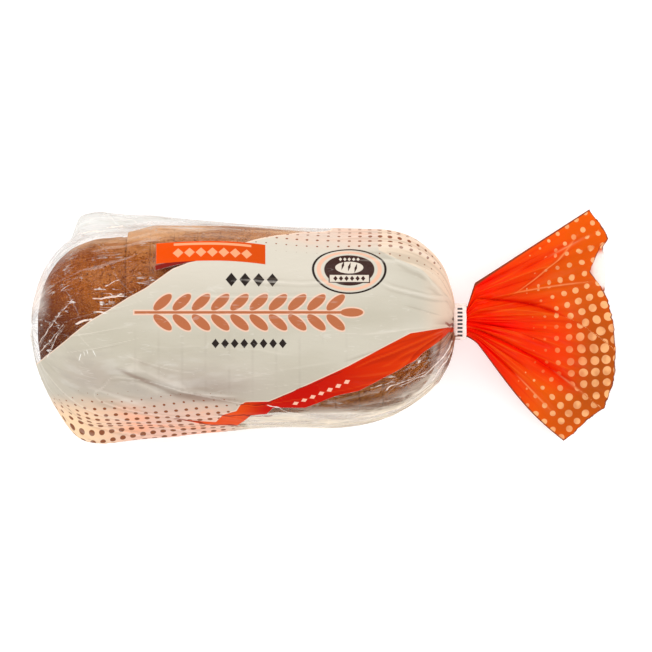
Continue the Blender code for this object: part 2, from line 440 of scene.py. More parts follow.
class Graph:
    """One node material; every call takes sockets or plain numbers and gives a socket."""

    def __init__(self, name):
        self.material = bpy.data.materials.new(name)
        self.material.use_nodes = True
        self.tree = self.material.node_tree
        self.tree.nodes.clear()
        self.output = self.tree.nodes.new("ShaderNodeOutputMaterial")

    def add(self, kind, **inputs):
        node = self.tree.nodes.new(kind)
        for name, value in inputs.items():
            self.feed(node.inputs[name.replace("_", " ")], value)
        return node

    def feed(self, socket, value):
        if isinstance(value, bpy.types.NodeSocket):
            self.tree.links.new(value, socket)
        else:
            socket.default_value = value

    def math(self, operation, first, second=0.0, third=0.0, clamp=False):
        node = self.tree.nodes.new("ShaderNodeMath")
        node.operation = operation
        node.use_clamp = clamp
        for socket, value in zip(node.inputs, (first, second, third)):
            self.feed(socket, value)
        return node.outputs[0]

    def times(self, first, second, clamp=False):
        return self.math("MULTIPLY", first, second, clamp=clamp)

    def plus(self, first, second):
        return self.math("ADD", first, second)

    def minus(self, first, second):
        return self.math("SUBTRACT", first, second)

    def larger(self, first, second):
        return self.math("MAXIMUM", first, second)

    def smaller(self, first, second):
        return self.math("MINIMUM", first, second)

    def linear(self, value, slope, start, clamp=False):
        """The value times a slope, plus a start."""
        return self.math("MULTIPLY_ADD", value, slope, start, clamp)

    def apart(self, first, second):
        """How far two values are from each other."""
        return self.math("ABSOLUTE", self.minus(first, second))

    def length(self, first, second):
        """The length of a line with these two sides."""
        return self.math("SQRT", self.plus(self.times(first, first), self.times(second, second)))

    def vector_math(self, operation, first, second=(0.0, 0.0, 0.0)):
        node = self.tree.nodes.new("ShaderNodeVectorMath")
        node.operation = operation
        self.feed(node.inputs[0], first)
        self.feed(node.inputs[1], second)
        return node.outputs["Vector"]

    def between(self, value, low, high):
        """0 below low and 1 above high, smooth in between."""
        node = self.tree.nodes.new("ShaderNodeMapRange")
        node.interpolation_type = "SMOOTHSTEP"
        self.feed(node.inputs["Value"], value)
        self.feed(node.inputs["From Min"], low)
        self.feed(node.inputs["From Max"], high)
        return node.outputs["Result"]

    def mix(self, factor, first, second, most=1.0):
        """From the first colour to the second, of which it takes the given share at most."""
        if most != 1.0:
            factor = self.times(factor, most)
        node = self.tree.nodes.new("ShaderNodeMix")
        node.data_type = "RGBA"
        self.feed(node.inputs[0], factor)
        for socket, value in zip((node.inputs[6], node.inputs[7]), (first, second)):
            self.feed(socket, (*value, 1.0) if isinstance(value, tuple) else value)
        return node.outputs[2]

    def layers(self, colour, *layers):
        """Lays colours over a colour, each given as its mask, the colour and perhaps its largest share."""
        for mask, tint, *most in layers:
            colour = self.mix(mask, colour, tint, *most)
        return colour

    def field(self, name):
        node = self.tree.nodes.new("ShaderNodeAttribute")
        node.attribute_name = name
        return node.outputs["Fac"]

    def film_place(self):
        node = self.tree.nodes.new("ShaderNodeUVMap")
        node.uv_map = "film"
        parts = self.add("ShaderNodeSeparateXYZ", Vector=node.outputs["UV"])
        return node.outputs["UV"], parts.outputs["X"], parts.outputs["Y"]

    def object_place(self):
        return self.tree.nodes.new("ShaderNodeTexCoord").outputs["Object"]

    def noise(self, vector, scale, detail, roughness, distortion=0.0):
        node = self.add(
            "ShaderNodeTexNoise",
            Vector=vector,
            Scale=scale,
            Detail=detail,
            Roughness=roughness,
            Distortion=distortion,
        )
        return node.outputs["Fac"]

    def drawn_noise(self, place, factors, turn, detail, roughness, distortion=0.0):
        """Noise drawn out along a direction given in degrees."""
        mapping = self.add("ShaderNodeMapping", Vector=place, Scale=factors)
        mapping.inputs["Rotation"].default_value = (0.0, 0.0, math.radians(turn))
        return self.noise(mapping.outputs["Vector"], 1.0, detail, roughness, distortion)

    def bump(self, height, distance, strength):
        node = self.add("ShaderNodeBump", Height=height, Distance=distance, Strength=strength)
        return node.outputs["Normal"]

    def finish(self, shader):
        self.tree.links.new(shader, self.output.inputs["Surface"])
        return self.material


# Bread

def far_bulge(x):
    """How far the cut slices stand out to the far side, in metres."""
    return 0.0038 * step(x, -0.110, -0.090) * (1.0 - step(x, -0.060, 0.010))


def loaf_section(x, angle):
    """The baked loaf before it is cut: a squarish oval with a flat bottom and two round ends."""
    width = swell(x - LOAF_START, 0.046, 2.35) * swell(LOAF_END - x, 0.044, 2.2)
    rise = swell(x - LOAF_START, 0.040, 2.1) * swell(LOAF_END - x, 0.050, 2.1)
    across = signed_power(np.cos(angle), 0.80)
    up = signed_power(np.sin(angle), 0.80)
    above = (LOAF_TOP_Z - LOAF_MIDDLE_Z) * rise
    below = (LOAF_MIDDLE_Z - LOAF_BOTTOM_Z) * 1.15 * rise
    y = across * LOAF_HALF_WIDTH * width + far_bulge(x) * step(across, 0.0, 0.9)
    z = LOAF_MIDDLE_Z + up * np.where(up > 0.0, above, below)
    return y, np.maximum(z, LOAF_BOTTOM_Z)


def inside_film(x, y, z, clearance):
    """Hold one ring of the loaf inside the bag, which narrows at the neck."""
    turn = np.linspace(-math.pi, math.pi, 720, endpoint=False)
    film_y, film_z = body_point(np.full_like(turn, x), turn, ears=0.0)
    film_y = film_y + far_bulge(x) * step(np.cos(turn), 0.0, 0.6)
    middle_y, middle_z = film_y.mean(), 0.5 * (film_z.min() + film_z.max())
    direction = np.arctan2(film_z - middle_z, film_y - middle_y)
    reach = np.hypot(film_y - middle_y, film_z - middle_z)
    own_direction = np.arctan2(z - middle_z, y - middle_y)
    limit = np.interp(own_direction, direction, reach, period=2.0 * math.pi) - clearance
    share = np.clip(limit / np.maximum(np.hypot(y - middle_y, z - middle_z), 1e-6), 0.0, 1.0)
    return middle_y + (y - middle_y) * share, middle_z + (z - middle_z) * share


def slice_mesh_data(x_start, x_end, shift_y, shift_z, seed):
    """One slice as rings: the first and last rings close in to the middle of its cut faces."""
    around = 120
    angle = np.linspace(0.0, 2.0 * math.pi, around, endpoint=False)
    inner = [0.04, 0.30, 0.60, 0.85, 0.994]
    rim = 0.0003
    steps = max(7, int((x_end - x_start) / 0.0016))
    crust_x = np.linspace(x_start + rim, x_end - rim, steps)
    stations = [(x_start, share) for share in inner] + [(x, 1.0) for x in crust_x]
    stations += [(x_end, share) for share in reversed(inner)]
    rings = []
    cut = []
    for x, share in stations:
        y, z = loaf_section(np.full(around, x), angle)
        rough = 0.00030 * value_noise(angle * 9.0 + x * 90.0, np.full(around, x * 240.0 + 40.0), 11)
        rough = rough + 0.00060 * value_noise(angle * 2.4 + 9.0, np.full(around, x * 45.0 + 60.0), 12)
        grow = (1.0 + rough / 0.045) * share
        y = y * grow + LOAF_CENTRE_Y + shift_y
        z = np.maximum(LOAF_MIDDLE_Z + (z - LOAF_MIDDLE_Z) * grow, LOAF_BOTTOM_Z) + shift_z
        crumb = 0.0003 * value_noise(y * 260.0 + seed, z * 260.0 + 7.0, 13) if share < 0.9 else 0.0
        y, z = inside_film(x, y, z, 0.0014)
        rings.append(np.stack((np.full(around, x) + crumb, y, z), axis=1))
        cut.append(0.0 if share == 1.0 else 1.0)
    return np.array(rings), np.array(cut)


def make_loaf():
    random = np.random.default_rng(5)
    cuts = [LOAF_START, LOAF_START + HEEL_THICKNESS]
    while cuts[-1] + 1.7 * SLICE_THICKNESS < LOAF_END:
        cuts.append(cuts[-1] + SLICE_THICKNESS * (1.0 + random.uniform(-0.03, 0.03)))
    cuts.append(LOAF_END)
    vertices, faces, kinds = [], [], []
    for index, (start, end) in enumerate(zip(cuts, cuts[1:])):
        first = index == 0
        last = index == len(cuts) - 2
        behind = start < -0.110
        shift_y = -0.0035 if behind else random.uniform(-0.0003, 0.0003)
        shift_z = -0.0004 if behind else random.uniform(0.0, 0.0002)
        x_start = start + (0.0 if first else SLICE_GAP)
        x_end = end - (0.0 if last else SLICE_GAP)
        rings, cut = slice_mesh_data(x_start, x_end, shift_y, shift_z, 3.0 * index)
        base = len(vertices)
        around = rings.shape[1]
        vertices.extend(rings.reshape(-1, 3) + SHIFT)
        for row in range(rings.shape[0] - 1):
            for column in range(around):
                after = (column + 1) % around
                low, high = base + row * around, base + (row + 1) * around
                faces.append((low + column, low + after, high + after, high + column))
                is_cut = cut[row] + cut[row + 1] > 1.5
                outer_end = (first and row < rings.shape[0] // 2) or (last and row > rings.shape[0] // 2)
                kinds.append(1 if is_cut and not outer_end else 0)
        faces.append(tuple(base + column for column in range(around))[::-1])
        kinds.append(0 if first else 1)
        tip = base + (rings.shape[0] - 1) * around
        faces.append(tuple(tip + column for column in range(around)))
        kinds.append(0 if last else 1)
    mesh = bpy.data.meshes.new("loaf")
    mesh.from_pydata([tuple(point) for point in vertices], [], faces)
    mesh.polygons.foreach_set("use_smooth", np.ones(len(faces), bool))
    mesh.materials.append(crust_material())
    mesh.materials.append(crumb_material())
    mesh.polygons.foreach_set("material_index", np.array(kinds))
    mesh.update()
    loaf = bpy.data.objects.new("loaf", mesh)
    bpy.context.scene.collection.objects.link(loaf)
    return loaf


def crust_material():
    graph = Graph("baked_crust")
    place = graph.object_place()
    parts = graph.add("ShaderNodeSeparateXYZ", Vector=place)
    along, across = parts.outputs["X"], parts.outputs["Y"]
    broad = graph.noise(place, 30.0, 4.0, 0.60)
    mottle = graph.noise(place, 520.0, 5.0, 0.85)
    pits = graph.noise(place, 1250.0, 3.0, 0.7)
    streaks = graph.drawn_noise(place, (16.0, 120.0, 60.0), -14.0, 3.0, 0.55)
    # The loaf is darker towards its end; its far side is painted paler, a painted highlight
    heel = graph.between(along, -0.112, -0.150)
    # Painted shade: the crust is darker towards the near side of the end
    corner = graph.times(heel, graph.between(across, 0.026, -0.006))
    # Painted sheen of the film: light streaks over the crust
    film_sheen_streaks = graph.times(graph.between(streaks, 0.50, 0.62), graph.between(across, 0.008, 0.034))
    pale = graph.between(across, 0.037, 0.049)
    pale = graph.times(pale, graph.linear(graph.between(streaks, 0.40, 0.56), 0.60, 0.40))
    near_side = graph.between(across, -0.022, -0.040)
    # Painted shade: dark streaks along the near side
    near = graph.times(near_side, graph.between(streaks, 0.56, 0.46))
    speckle = graph.linear(graph.larger(pale, corner), -0.55, 1.0)
    dark_specks = graph.times(graph.between(mottle, 0.51, 0.58), speckle)
    light_specks = graph.times(graph.between(pits, 0.54, 0.60), speckle)
    colour = graph.mix(graph.between(broad, 0.38, 0.62), (0.195, 0.040, 0.005), (0.300, 0.080, 0.011))
    colour = graph.layers(
        colour,
        (heel, (0.170, 0.030, 0.007), 0.60),
        (corner, (0.050, 0.010, 0.005), 0.85),
        (film_sheen_streaks, (0.50, 0.21, 0.070), 0.25),
        (pale, (0.64, 0.335, 0.145), 0.85),
        (near_side, (0.23, 0.120, 0.045), 0.50),
        (near, (0.105, 0.038, 0.010), 0.60),
        (dark_specks, (0.085, 0.016, 0.004), 0.92),
        (light_specks, (0.54, 0.19, 0.045), 0.70),
    )
    height = graph.plus(graph.times(mottle, 0.7), graph.times(pits, 0.5))
    shader = graph.add("ShaderNodeBsdfPrincipled", Base_Color=colour, Roughness=0.80)
    shader.inputs["Specular IOR Level"].default_value = 0.06
    graph.feed(shader.inputs["Normal"], graph.bump(height, 0.0009, 0.9))
    return graph.finish(shader.outputs[0])


def crumb_material():
    graph = Graph("rye_crumb")
    place = graph.object_place()
    grain = graph.noise(place, 420.0, 3.0, 0.6)
    holes = graph.noise(place, 190.0, 2.0, 0.5, 0.4)
    colour = graph.mix(graph.between(grain, 0.35, 0.65), (0.36, 0.215, 0.115), (0.50, 0.335, 0.195))
    # The holes are painted darker: painted shade in the pores
    colour = graph.mix(graph.between(holes, 0.60, 0.70), colour, (0.20, 0.105, 0.05))
    shader = graph.add("ShaderNodeBsdfPrincipled", Base_Color=colour, Roughness=0.9)
    graph.feed(shader.inputs["Normal"], graph.bump(holes, 0.0012, 0.8))
    return graph.finish(shader.outputs[0])


# The film over the loaf

def inside_outline(x, y, corners):
    """How far each point lies inside a closed outline, in metres; outside it is below zero."""
    nearest = np.full(x.shape, np.inf)
    inside = np.zeros(x.shape, bool)
    for (start_x, start_y), (end_x, end_y) in zip(corners, corners[1:] + corners[:1]):
        run, climb = end_x - start_x, end_y - start_y
        share = ((x - start_x) * run + (y - start_y) * climb) / (run * run + climb * climb)
        share = np.clip(share, 0.0, 1.0)
        nearest = np.minimum(nearest, np.hypot(x - start_x - share * run, y - start_y - share * climb))
        if climb != 0.0:
            crosses = (start_y > y) != (end_y > y)
            inside ^= crosses & (x < start_x + (y - start_y) * run / climb)
    return np.where(inside, nearest, -nearest)


def fold_lift(x, y, start, end, half_width, height):
    """One fold of the film, dying out over its half width and towards both ends."""
    run, climb = end[0] - start[0], end[1] - start[1]
    length = math.hypot(run, climb)
    along = ((x - start[0]) * run + (y - start[1]) * climb) / length
    across = ((y - start[1]) * run - (x - start[0]) * climb) / length
    across = across + 0.0014 * value_noise(along / 0.016, np.zeros_like(along) + height * 9000.0, 33)
    ends = step(along, -0.004, 0.012) * (1.0 - step(along, length - 0.016, length + 0.006))
    uneven = 0.75 + 0.25 * value_noise(along / 0.009, np.zeros_like(along) + height * 5000.0, 34)
    return height * ends * uneven * np.exp(-(np.abs(across / half_width) ** 1.7))


def fold_marks(lift, sharpness):
    """Where a film is sharply folded: above 0 on crests and below 0 in furrows, from -1 to 1."""
    bend = np.zeros_like(lift)
    bend[1:-1, :] += 2.0 * lift[1:-1, :] - lift[:-2, :] - lift[2:, :]
    bend[:, 1:-1] += 2.0 * lift[:, 1:-1] - lift[:, :-2] - lift[:, 2:]
    return np.tanh(bend * sharpness)


def body_folds(x, y, u, v, angle):
    """How far the film stands out from its smooth form, in metres: folds, creases and slack."""
    neck_share = step(x, 0.000, NECK_X)
    seal_share = step(-x, 0.105, 0.150)
    low_left = step(-u, 0.000, 0.060) * step(-v, 0.010, 0.040) * step(v, -0.115, -0.080)
    window = step(u, -0.050, 0.0) * step(-v, 0.024, 0.045)
    far_edge = step(v, 0.045, 0.070)
    bare = step(-u, 0.090, 0.120) * step(v, -0.022, -0.006)
    slack = np.clip(low_left + window + far_edge + bare, 0.0, 1.0)
    top = step(v, -0.030, -0.010) * (1.0 - step(v, 0.030, 0.050))

    sway = 0.5 * value_noise(u / 0.035, angle * 2.5, 21)
    gather = value_noise(angle * 6.0 + 3.0 + sway, u / 0.11, 22)
    fine_gather = value_noise(angle * 15.0 + 5.0 + sway, u / 0.09 + 8.0, 23)
    calm = (1.0 - 0.75 * step(x, 0.050, NECK_X)) * (1.0 - 0.60 * top)
    lift = neck_share * (0.0020 * gather + 0.0010 * fine_gather) * calm
    lift = lift + 0.00045 * step(x, 0.058, NECK_X) * np.sin(angle * 20.0 + 2.0 * gather)

    for where, height, *noise in (
        (seal_share, 0.0010, 12.0, 0.045, 0.010, 24),
        (low_left, 0.0008, -20.0, 0.060, 0.009, 26),
        (window, 0.0011, 12.0, 0.090, 0.006, 27),
        (far_edge, 0.0010, 4.0, 0.080, 0.008, 28),
        (0.15 + 0.85 * slack, 0.00022, 8.0, 0.030, 0.006, 29),
        (1.0, 0.00030, 3.0, 0.060, 0.014, 36),
    ):
        lift = lift + where * height * turned_noise(u, v, *noise)
    beyond = np.clip(window + far_edge + bare, 0.0, 1.0)
    for where, height, sharpness, *noise in (
        (low_left, 0.00036, 9.0, -17.0, 0.045, 0.010, 30),
        (beyond, 0.00030, 9.0, 12.0, 0.070, 0.010, 35),
        (bare, 0.00022, 7.0, -42.0, 0.050, 0.012, 31),
    ):
        lift = lift + where * height * ridges(turned_noise(u, v, *noise), sharpness)
    for start, end, half_width, height in FILM_FOLDS:
        lift = lift + fold_lift(x, y, start, end, half_width, height) * step(angle, -0.2, 0.1)
    random = np.random.default_rng(37)
    for index in range(SHOULDER_FOLDS):
        angle_seen = blend(*SHOULDER_FOLD_ANGLES, index / (SHOULDER_FOLDS - 1.0))
        turn = math.radians(angle_seen + random.uniform(-2.0, 2.0))
        reach = random.uniform(0.035, 0.075)
        start = (NECK_X - 0.003, NECK_Y + 0.006 * math.sin(turn))
        end = (start[0] + reach * math.cos(turn), start[1] + reach * math.sin(turn))
        height = random.uniform(0.0006, 0.0013) * (1.0 if index % 3 else -1.0)
        half_width = random.uniform(0.0009, 0.0015)
        lift = lift + fold_lift(x, y, start, end, half_width, height) * step(-y, -0.001, 0.004)
    by_rim = np.exp(-((np.sin(angle) / 0.12) ** 2))
    bulge = far_bulge(x) * step(np.cos(angle), 0.0, 0.6) * (1.0 - 0.7 * by_rim)
    lift = lift - 0.0007 * seal_share - 0.0004 * far_edge
    deepest = blend(-0.0008, -0.0030, step(np.sin(angle), 0.35, 0.65))
    return np.maximum(lift, deepest) + bulge


def place_across(angle, y, v, far_y, near_y, far_v, near_v):
    """Distance across as seen from above, which runs on round the side below the widest line."""
    over_far = far_y + (v - far_v)
    over_near = near_y + (v - near_v)
    return np.where(angle < 0.0, over_far, np.where(angle > math.pi, over_near, y))


def body_fields(x, w, rim_far, rim_near, steep, seam):
    """Print, haze and painted light and shade over the film; w is the place across from above, with its
    distance to each rim.
    """
    panel = inside_outline(x, w, PANEL_UPPER_EDGE + BAND_UPPER_EDGE + PANEL_NEAR_CORNER)
    panel_end = blend(-0.1700, -0.1525, step(-rim_near, 0.0, 0.014))
    panel = np.where(rim_near < 0.0, np.minimum(panel, x - panel_end), panel)
    band = inside_outline(x, w, BAND_UPPER_EDGE + BAND_LOWER_EDGE)
    low = step(-w, 0.036, 0.054) * step(-x, 0.038, 0.062)
    shoulder = step(-rim_far, -0.016, -0.003) * step(x, -0.034, -0.010)
    low_radius = 0.0016 * step(-w, 0.031, 0.056) * step(-x, 0.035, 0.060)
    high_radius = step(-rim_far, -0.018, -0.006) * (0.0008 + 0.0006 * np.exp(-(((x - 0.037) / 0.016) ** 2)))
    high_radius = high_radius * (1.0 - step(x, 0.058, 0.070))
    print_free = step(-x, 0.120, 0.150) * step(w, -0.036, -0.022) * (1.0 - step(w, 0.020, 0.040))
    print_free = print_free * (1.0 - 0.8 * step(-x, 0.1563, 0.1575))
    # The film is hazier on its steep walls and along the seam: a faint real haze, with painted sheen on the
    # slanting walls
    haze = 0.003 + 0.36 * step(steep, 0.28, 0.90) + 0.22 * seam
    ear_start = 0.0525 - 0.0065 * step(-x, 0.098, 0.125)
    near_rim = 1.0 - step(rim_near, 0.004, 0.013)
    # Where the painted shade of the gaps between the slices shows
    slices = step(-w, -0.002, 0.012) * (1.0 - step(-w, 0.030, 0.044)) * step(x, -0.120, -0.098)
    # Where painted shade lies in the gathers at the neck
    gathers = step(x, 0.056, 0.069) * step(value_noise(w * 620.0, x * 30.0, 43), -0.2, 0.5)
    # Painted light: the pale print is lighter on its far side and towards the neck
    painted_light_part = 0.85 * step(w, 0.004, 0.030) * (1.0 - step(x, 0.010, 0.060))
    return {
        "panel": panel * 1000.0,
        "band": band * 1000.0,
        "dot_radius": (low_radius + high_radius) * 1000.0,
        "peach": np.clip(low + shoulder * 0.42, 0.0, 1.0),
        "yellow": low * step(-x, 0.095, 0.145),
        "haze": haze * (1.0 - 0.75 * print_free),
        "veil": near_rim * step(x, -0.075, -0.050) * (1.0 - step(x, 0.060, 0.070)),
        "below": 1.0 - step(rim_near, -0.016, -0.002),
        "mist": step(-x, 0.1462, 0.1575) * step(w, -0.001, 0.013) * (1.0 - step(w, 0.050, 0.062)),
        "ear": step(w, ear_start, ear_start + 0.005) * (1.0 - step(w, 0.070, 0.095)),
        "corner": inside_outline(x, w, SHOULDER_CORNER) * 1000.0,
        "shade": np.clip(sum(fold_lift(x, w, *fold) for fold in SHADED_FOLDS), -1.0, 1.0),
        "neck": step(x, 0.050, 0.068),
        "gathered": step(x, 0.0570, 0.0635) * np.exp(-(((w + 0.006) / 0.022) ** 2)),
        "gathers": gathers * step(-w, -0.006, 0.002),
        "slices": slices * (1.0 - step(x, -0.010, 0.040)),
        "painted_light_part": painted_light_part + 0.3 * step(x, 0.020, 0.060),
        "slack": step(-w, 0.004, 0.024) * step(-x, 0.030, 0.075),
        "shaded_part": np.maximum(
            0.70 * np.exp(-(((w + 0.034) / 0.013) ** 2)) * np.exp(-(((x + 0.075) / 0.050) ** 2)),
            0.60 * np.exp(-(((w + 0.030) / 0.011) ** 2)) * np.exp(-(((x + 0.126) / 0.020) ** 2)),
        ),
    }


def make_body_film():
    x_line, u_line = film_stations()
    angle_line, v_line = film_angles()
    x = np.repeat(x_line[:, None], FILM_COLUMNS, axis=1)
    u = np.repeat(u_line[:, None], FILM_COLUMNS, axis=1)
    angle = np.repeat(angle_line[None, :FILM_COLUMNS], FILM_ROWS, axis=0)
    v = np.repeat(v_line[None, :FILM_COLUMNS], FILM_ROWS, axis=0)
    y, z = body_point(x, angle)
    points = np.stack((x, y, z), axis=-1)
    normals = grid_normals(points, closed=True)
    steep = 1.0 - np.abs(normals[..., 2])
    far_y = body_point(x, np.zeros_like(x))[0]
    near_y = body_point(x, np.full_like(x, math.pi))[0]
    far_v, near_v = np.interp((0.0, math.pi), angle_line, v_line)
    w = place_across(angle, y, v, far_y, near_y, far_v, near_v)
    seam = np.exp(-((np.sin(angle) / 0.16) ** 2)) * step(-x, 0.02, 0.12)
    lift = body_folds(x, w, u, v, angle)
    fields = body_fields(x, w, far_y - w, w - near_y, steep, seam)
    fields["crease"] = fold_marks(lift, 9000.0)
    slant = 0.13 * step(-v, 0.020, 0.050)
    fields["dot_u"] = u + slant * v + 0.0011 * turned_noise(u, v, 20.0, 0.030, 0.018, 41)
    fields["dot_v"] = v - slant * (u + 0.10) + 0.0010 * turned_noise(u, v, -15.0, 0.034, 0.016, 42)
    resting = step(z, 0.0, 0.006)
    points = points + normals * (lift * (0.1 + 0.9 * resting))[..., None]
    points[..., 2] = np.maximum(points[..., 2], 0.0002)
    middle = points[CAP_ROWS].mean(axis=0)
    for row in range(CAP_ROWS):
        share = (row + 0.02) / CAP_ROWS
        points[row] = middle + (points[CAP_ROWS] - middle) * share
        points[row, :, 0] -= 0.0004 * (1.0 - share * share)
    u_wide = np.repeat(u_line[:, None], FILM_COLUMNS + 1, axis=1)
    v_wide = np.repeat(v_line[None, :], FILM_ROWS, axis=0)
    film = grid_mesh("bag_film", points, u_wide, v_wide, True, fields)
    film.data.materials.append(body_film_material())
    return film


def lattice_dots(graph, u, v, radius, pitch):
    """Round dots of a given radius in millimetres on a square lattice."""
    first = graph.minus(graph.math("FRACT", graph.times(u, 1.0 / pitch)), 0.5)
    second = graph.minus(graph.math("FRACT", graph.times(v, 1.0 / pitch)), 0.5)
    distance = graph.times(graph.length(first, second), pitch * 1000.0)
    return graph.between(graph.minus(radius, distance), -0.15, 0.15)


def turned_place(graph, u, v, centre, turn, radii=(1.0, 1.0)):
    """Distances along and across a direction from a centre on the film, as shares of the radii."""
    du = graph.minus(u, centre[0])
    dv = graph.minus(v, centre[1])
    cosine, sine = math.cos(turn), math.sin(turn)
    along = graph.plus(graph.times(du, cosine / radii[0]), graph.times(dv, sine / radii[0]))
    across = graph.minus(graph.times(dv, cosine / radii[1]), graph.times(du, sine / radii[1]))
    return along, across


def inside_box(graph, u, v, centre, half, turn=0.0):
    """1 inside an upright or turned rectangle on the film."""
    soft = 0.00012
    along, across = turned_place(graph, u, v, centre, turn)
    left = graph.minus(half[0], graph.math("ABSOLUTE", along))
    up = graph.minus(half[1], graph.math("ABSOLUTE", across))
    return graph.between(graph.smaller(left, up), -soft, soft)


def ellipse(graph, u, v, centre, radii, turn=0.0):
    """Distance from an ellipse's middle as a share of its radius: 1 on its outline."""
    return graph.length(*turned_place(graph, u, v, centre, turn, radii))


def diamonds(graph, u, v, middle, pitch, half, count, turn=0.0):
    """A short row of small diamonds, as plain ornament."""
    along, across = turned_place(graph, u, v, middle, turn)
    start = 0.5 if count % 2 else 0.0
    place = graph.math("FRACT", graph.linear(along, 1.0 / pitch, start))
    place = graph.times(graph.apart(place, 0.5), pitch / half[0])
    height = graph.times(graph.math("ABSOLUTE", across), 1.0 / half[1])
    shape = graph.between(graph.minus(1.0, graph.plus(place, height)), -0.05, 0.05)
    reach = graph.minus(count * pitch / 2.0, graph.math("ABSOLUTE", along))
    return graph.times(shape, graph.math("GREATER_THAN", reach, 0.0))


def wheat_ear(graph, u, v, middle, half_length, grain_pitch, swollen):
    """A stylised ear of wheat along u: pairs of slanted grains on one stalk; swollen widens it all."""
    du = graph.minus(u, middle[0])
    side = graph.apart(v, middle[1])
    cell = graph.times(graph.math("FRACT", graph.times(du, 1.0 / grain_pitch)), grain_pitch)
    radii = (0.0062 + swollen, 0.0025 + swollen)
    grain = ellipse(graph, cell, side, (grain_pitch * 0.5, 0.0054), radii, math.radians(40.0))
    reach = graph.minus(half_length, graph.math("ABSOLUTE", du))
    grains = graph.times(graph.between(grain, 1.04, 0.96), graph.math("GREATER_THAN", reach, 0.0))
    stalk_half = (half_length + 0.004 + swollen, 0.0007 + swollen)
    stalk = inside_box(graph, u, v, (middle[0] - 0.006, middle[1]), stalk_half)
    tip_radii = (0.0062 + swollen, 0.0023 + swollen)
    tip = ellipse(graph, u, v, (middle[0] + half_length + 0.0035, middle[1]), tip_radii)
    return graph.larger(graph.larger(grains, stalk), graph.between(tip, 1.04, 0.96))


def film_shader(graph, colour, cover, roughness, normal, through, gloss_roughness, gloss_most):
    """Printed film: ink over clear plastic, lit from both sides, under one glossy skin."""
    ink = graph.add("ShaderNodeBsdfPrincipled", Base_Color=colour, Roughness=roughness, Normal=normal)
    ink.inputs["Specular IOR Level"].default_value = 0.02
    glow = graph.add("ShaderNodeBsdfTranslucent", Color=colour, Normal=normal)
    lit = graph.add("ShaderNodeMixShader", Fac=through)
    graph.feed(lit.inputs[1], ink.outputs[0])
    graph.feed(lit.inputs[2], glow.outputs[0])
    clear = graph.add("ShaderNodeBsdfTransparent")
    seen = graph.add("ShaderNodeMixShader", Fac=cover)
    graph.feed(seen.inputs[1], clear.outputs[0])
    graph.feed(seen.inputs[2], lit.outputs[0])
    gloss = graph.add("ShaderNodeBsdfGlossy", Roughness=gloss_roughness, Normal=normal)
    rim = graph.add("ShaderNodeFresnel", IOR=1.45, Normal=normal)
    share = graph.smaller(rim.outputs[0], gloss_most)
    skin = graph.add("ShaderNodeMixShader", Fac=share)
    graph.feed(skin.inputs[1], seen.outputs[0])
    graph.feed(skin.inputs[2], gloss.outputs[0])
    return skin.outputs[0]


def glint_lines(graph, flat, stretch, turn):
    """Short broken lines that run mostly along a direction given in degrees."""
    rise = graph.drawn_noise(flat, (*stretch, 1.0), turn, 2.0, 0.50, 0.25)
    broken = graph.drawn_noise(flat, (90.0, 90.0, 1.0), 0.0, 3.0, 0.6)
    line = graph.between(graph.apart(rise, 0.5), 0.012, 0.004)
    return graph.times(line, graph.between(broken, 0.52, 0.60))


def crease_lines(graph, lines, unevenness):
    """Lines over the upper film only, wavy and of uneven width, placed as seen from above."""
    place = graph.object_place()
    parts = graph.add("ShaderNodeSeparateXYZ", Vector=place)
    wave = graph.minus(graph.noise(place, 70.0, 2.0, 0.5), 0.5)
    across = graph.linear(wave, 0.0060, parts.outputs["Y"])
    flat = graph.add("ShaderNodeCombineXYZ", X=parts.outputs["X"], Y=across).outputs[0]
    total = None
    for start, end, half_width in lines:
        turn = math.atan2(end[1] - start[1], end[0] - start[0])
        middle_x, middle_y = (start[0] + end[0]) / 2.0, (start[1] + end[1]) / 2.0
        half_length = math.hypot(end[0] - start[0], end[1] - start[1]) / 2.0
        mapping = graph.tree.nodes.new("ShaderNodeMapping")
        graph.feed(mapping.inputs["Vector"], flat)
        mapping.inputs["Rotation"].default_value = (0.0, 0.0, -turn)
        mapping.inputs["Location"].default_value = (
            -middle_x * math.cos(turn) - middle_y * math.sin(turn),
            middle_x * math.sin(turn) - middle_y * math.cos(turn),
            0.0,
        )
        size = graph.vector_math("ABSOLUTE", mapping.outputs["Vector"])
        inside = graph.vector_math("SUBTRACT", (half_length, half_width, 0.0), size)
        sides = graph.add("ShaderNodeSeparateXYZ", Vector=inside)
        # The ends of a line taper over about three millimetres
        line = graph.smaller(graph.times(sides.outputs["X"], 0.10), sides.outputs["Y"])
        total = line if total is None else graph.larger(total, line)
    grain = graph.minus(graph.noise(place, 420.0, 2.0, 0.6), 0.5)
    shown = graph.between(graph.linear(grain, unevenness, total), -0.00012, 0.00012)
    return graph.times(shown, graph.between(parts.outputs["Z"], 0.018, 0.024))


def print_label(graph, u, v, colour):
    """The orange label with a plain pale ornament, and painted shade of the fold under its corner."""
    label_u, label_v = -0.0609, 0.0400
    off_middle = graph.plus(u, -label_u)
    bow = graph.times(graph.times(off_middle, off_middle), 2.0)
    v = graph.plus(v, graph.minus(bow, 0.0008))
    label = inside_box(graph, u, v, (label_u, label_v), (0.0296, 0.0064), math.radians(0.5))
    fold_shade_wedge = inside_box(graph, u, v, (-0.0800, 0.0330), (0.0110, 0.0013), math.radians(9.0))
    rule = inside_box(graph, u, v, (-0.0600, 0.0444), (0.0210, 0.0008))
    stones = diamonds(graph, u, v, (-0.0600, 0.0388), 0.0062, (0.0029, 0.0029), 7)
    orange = graph.mix(graph.between(u, -0.070, -0.036), (0.75, 0.070, 0.001), (0.63, 0.068, 0.003))
    colour = graph.layers(
        colour,
        (fold_shade_wedge, (0.22, 0.010, 0.006)),
        (label, orange),
        (graph.larger(rule, stones), (0.84, 0.36, 0.18)),
    )
    return colour, graph.larger(label, fold_shade_wedge)


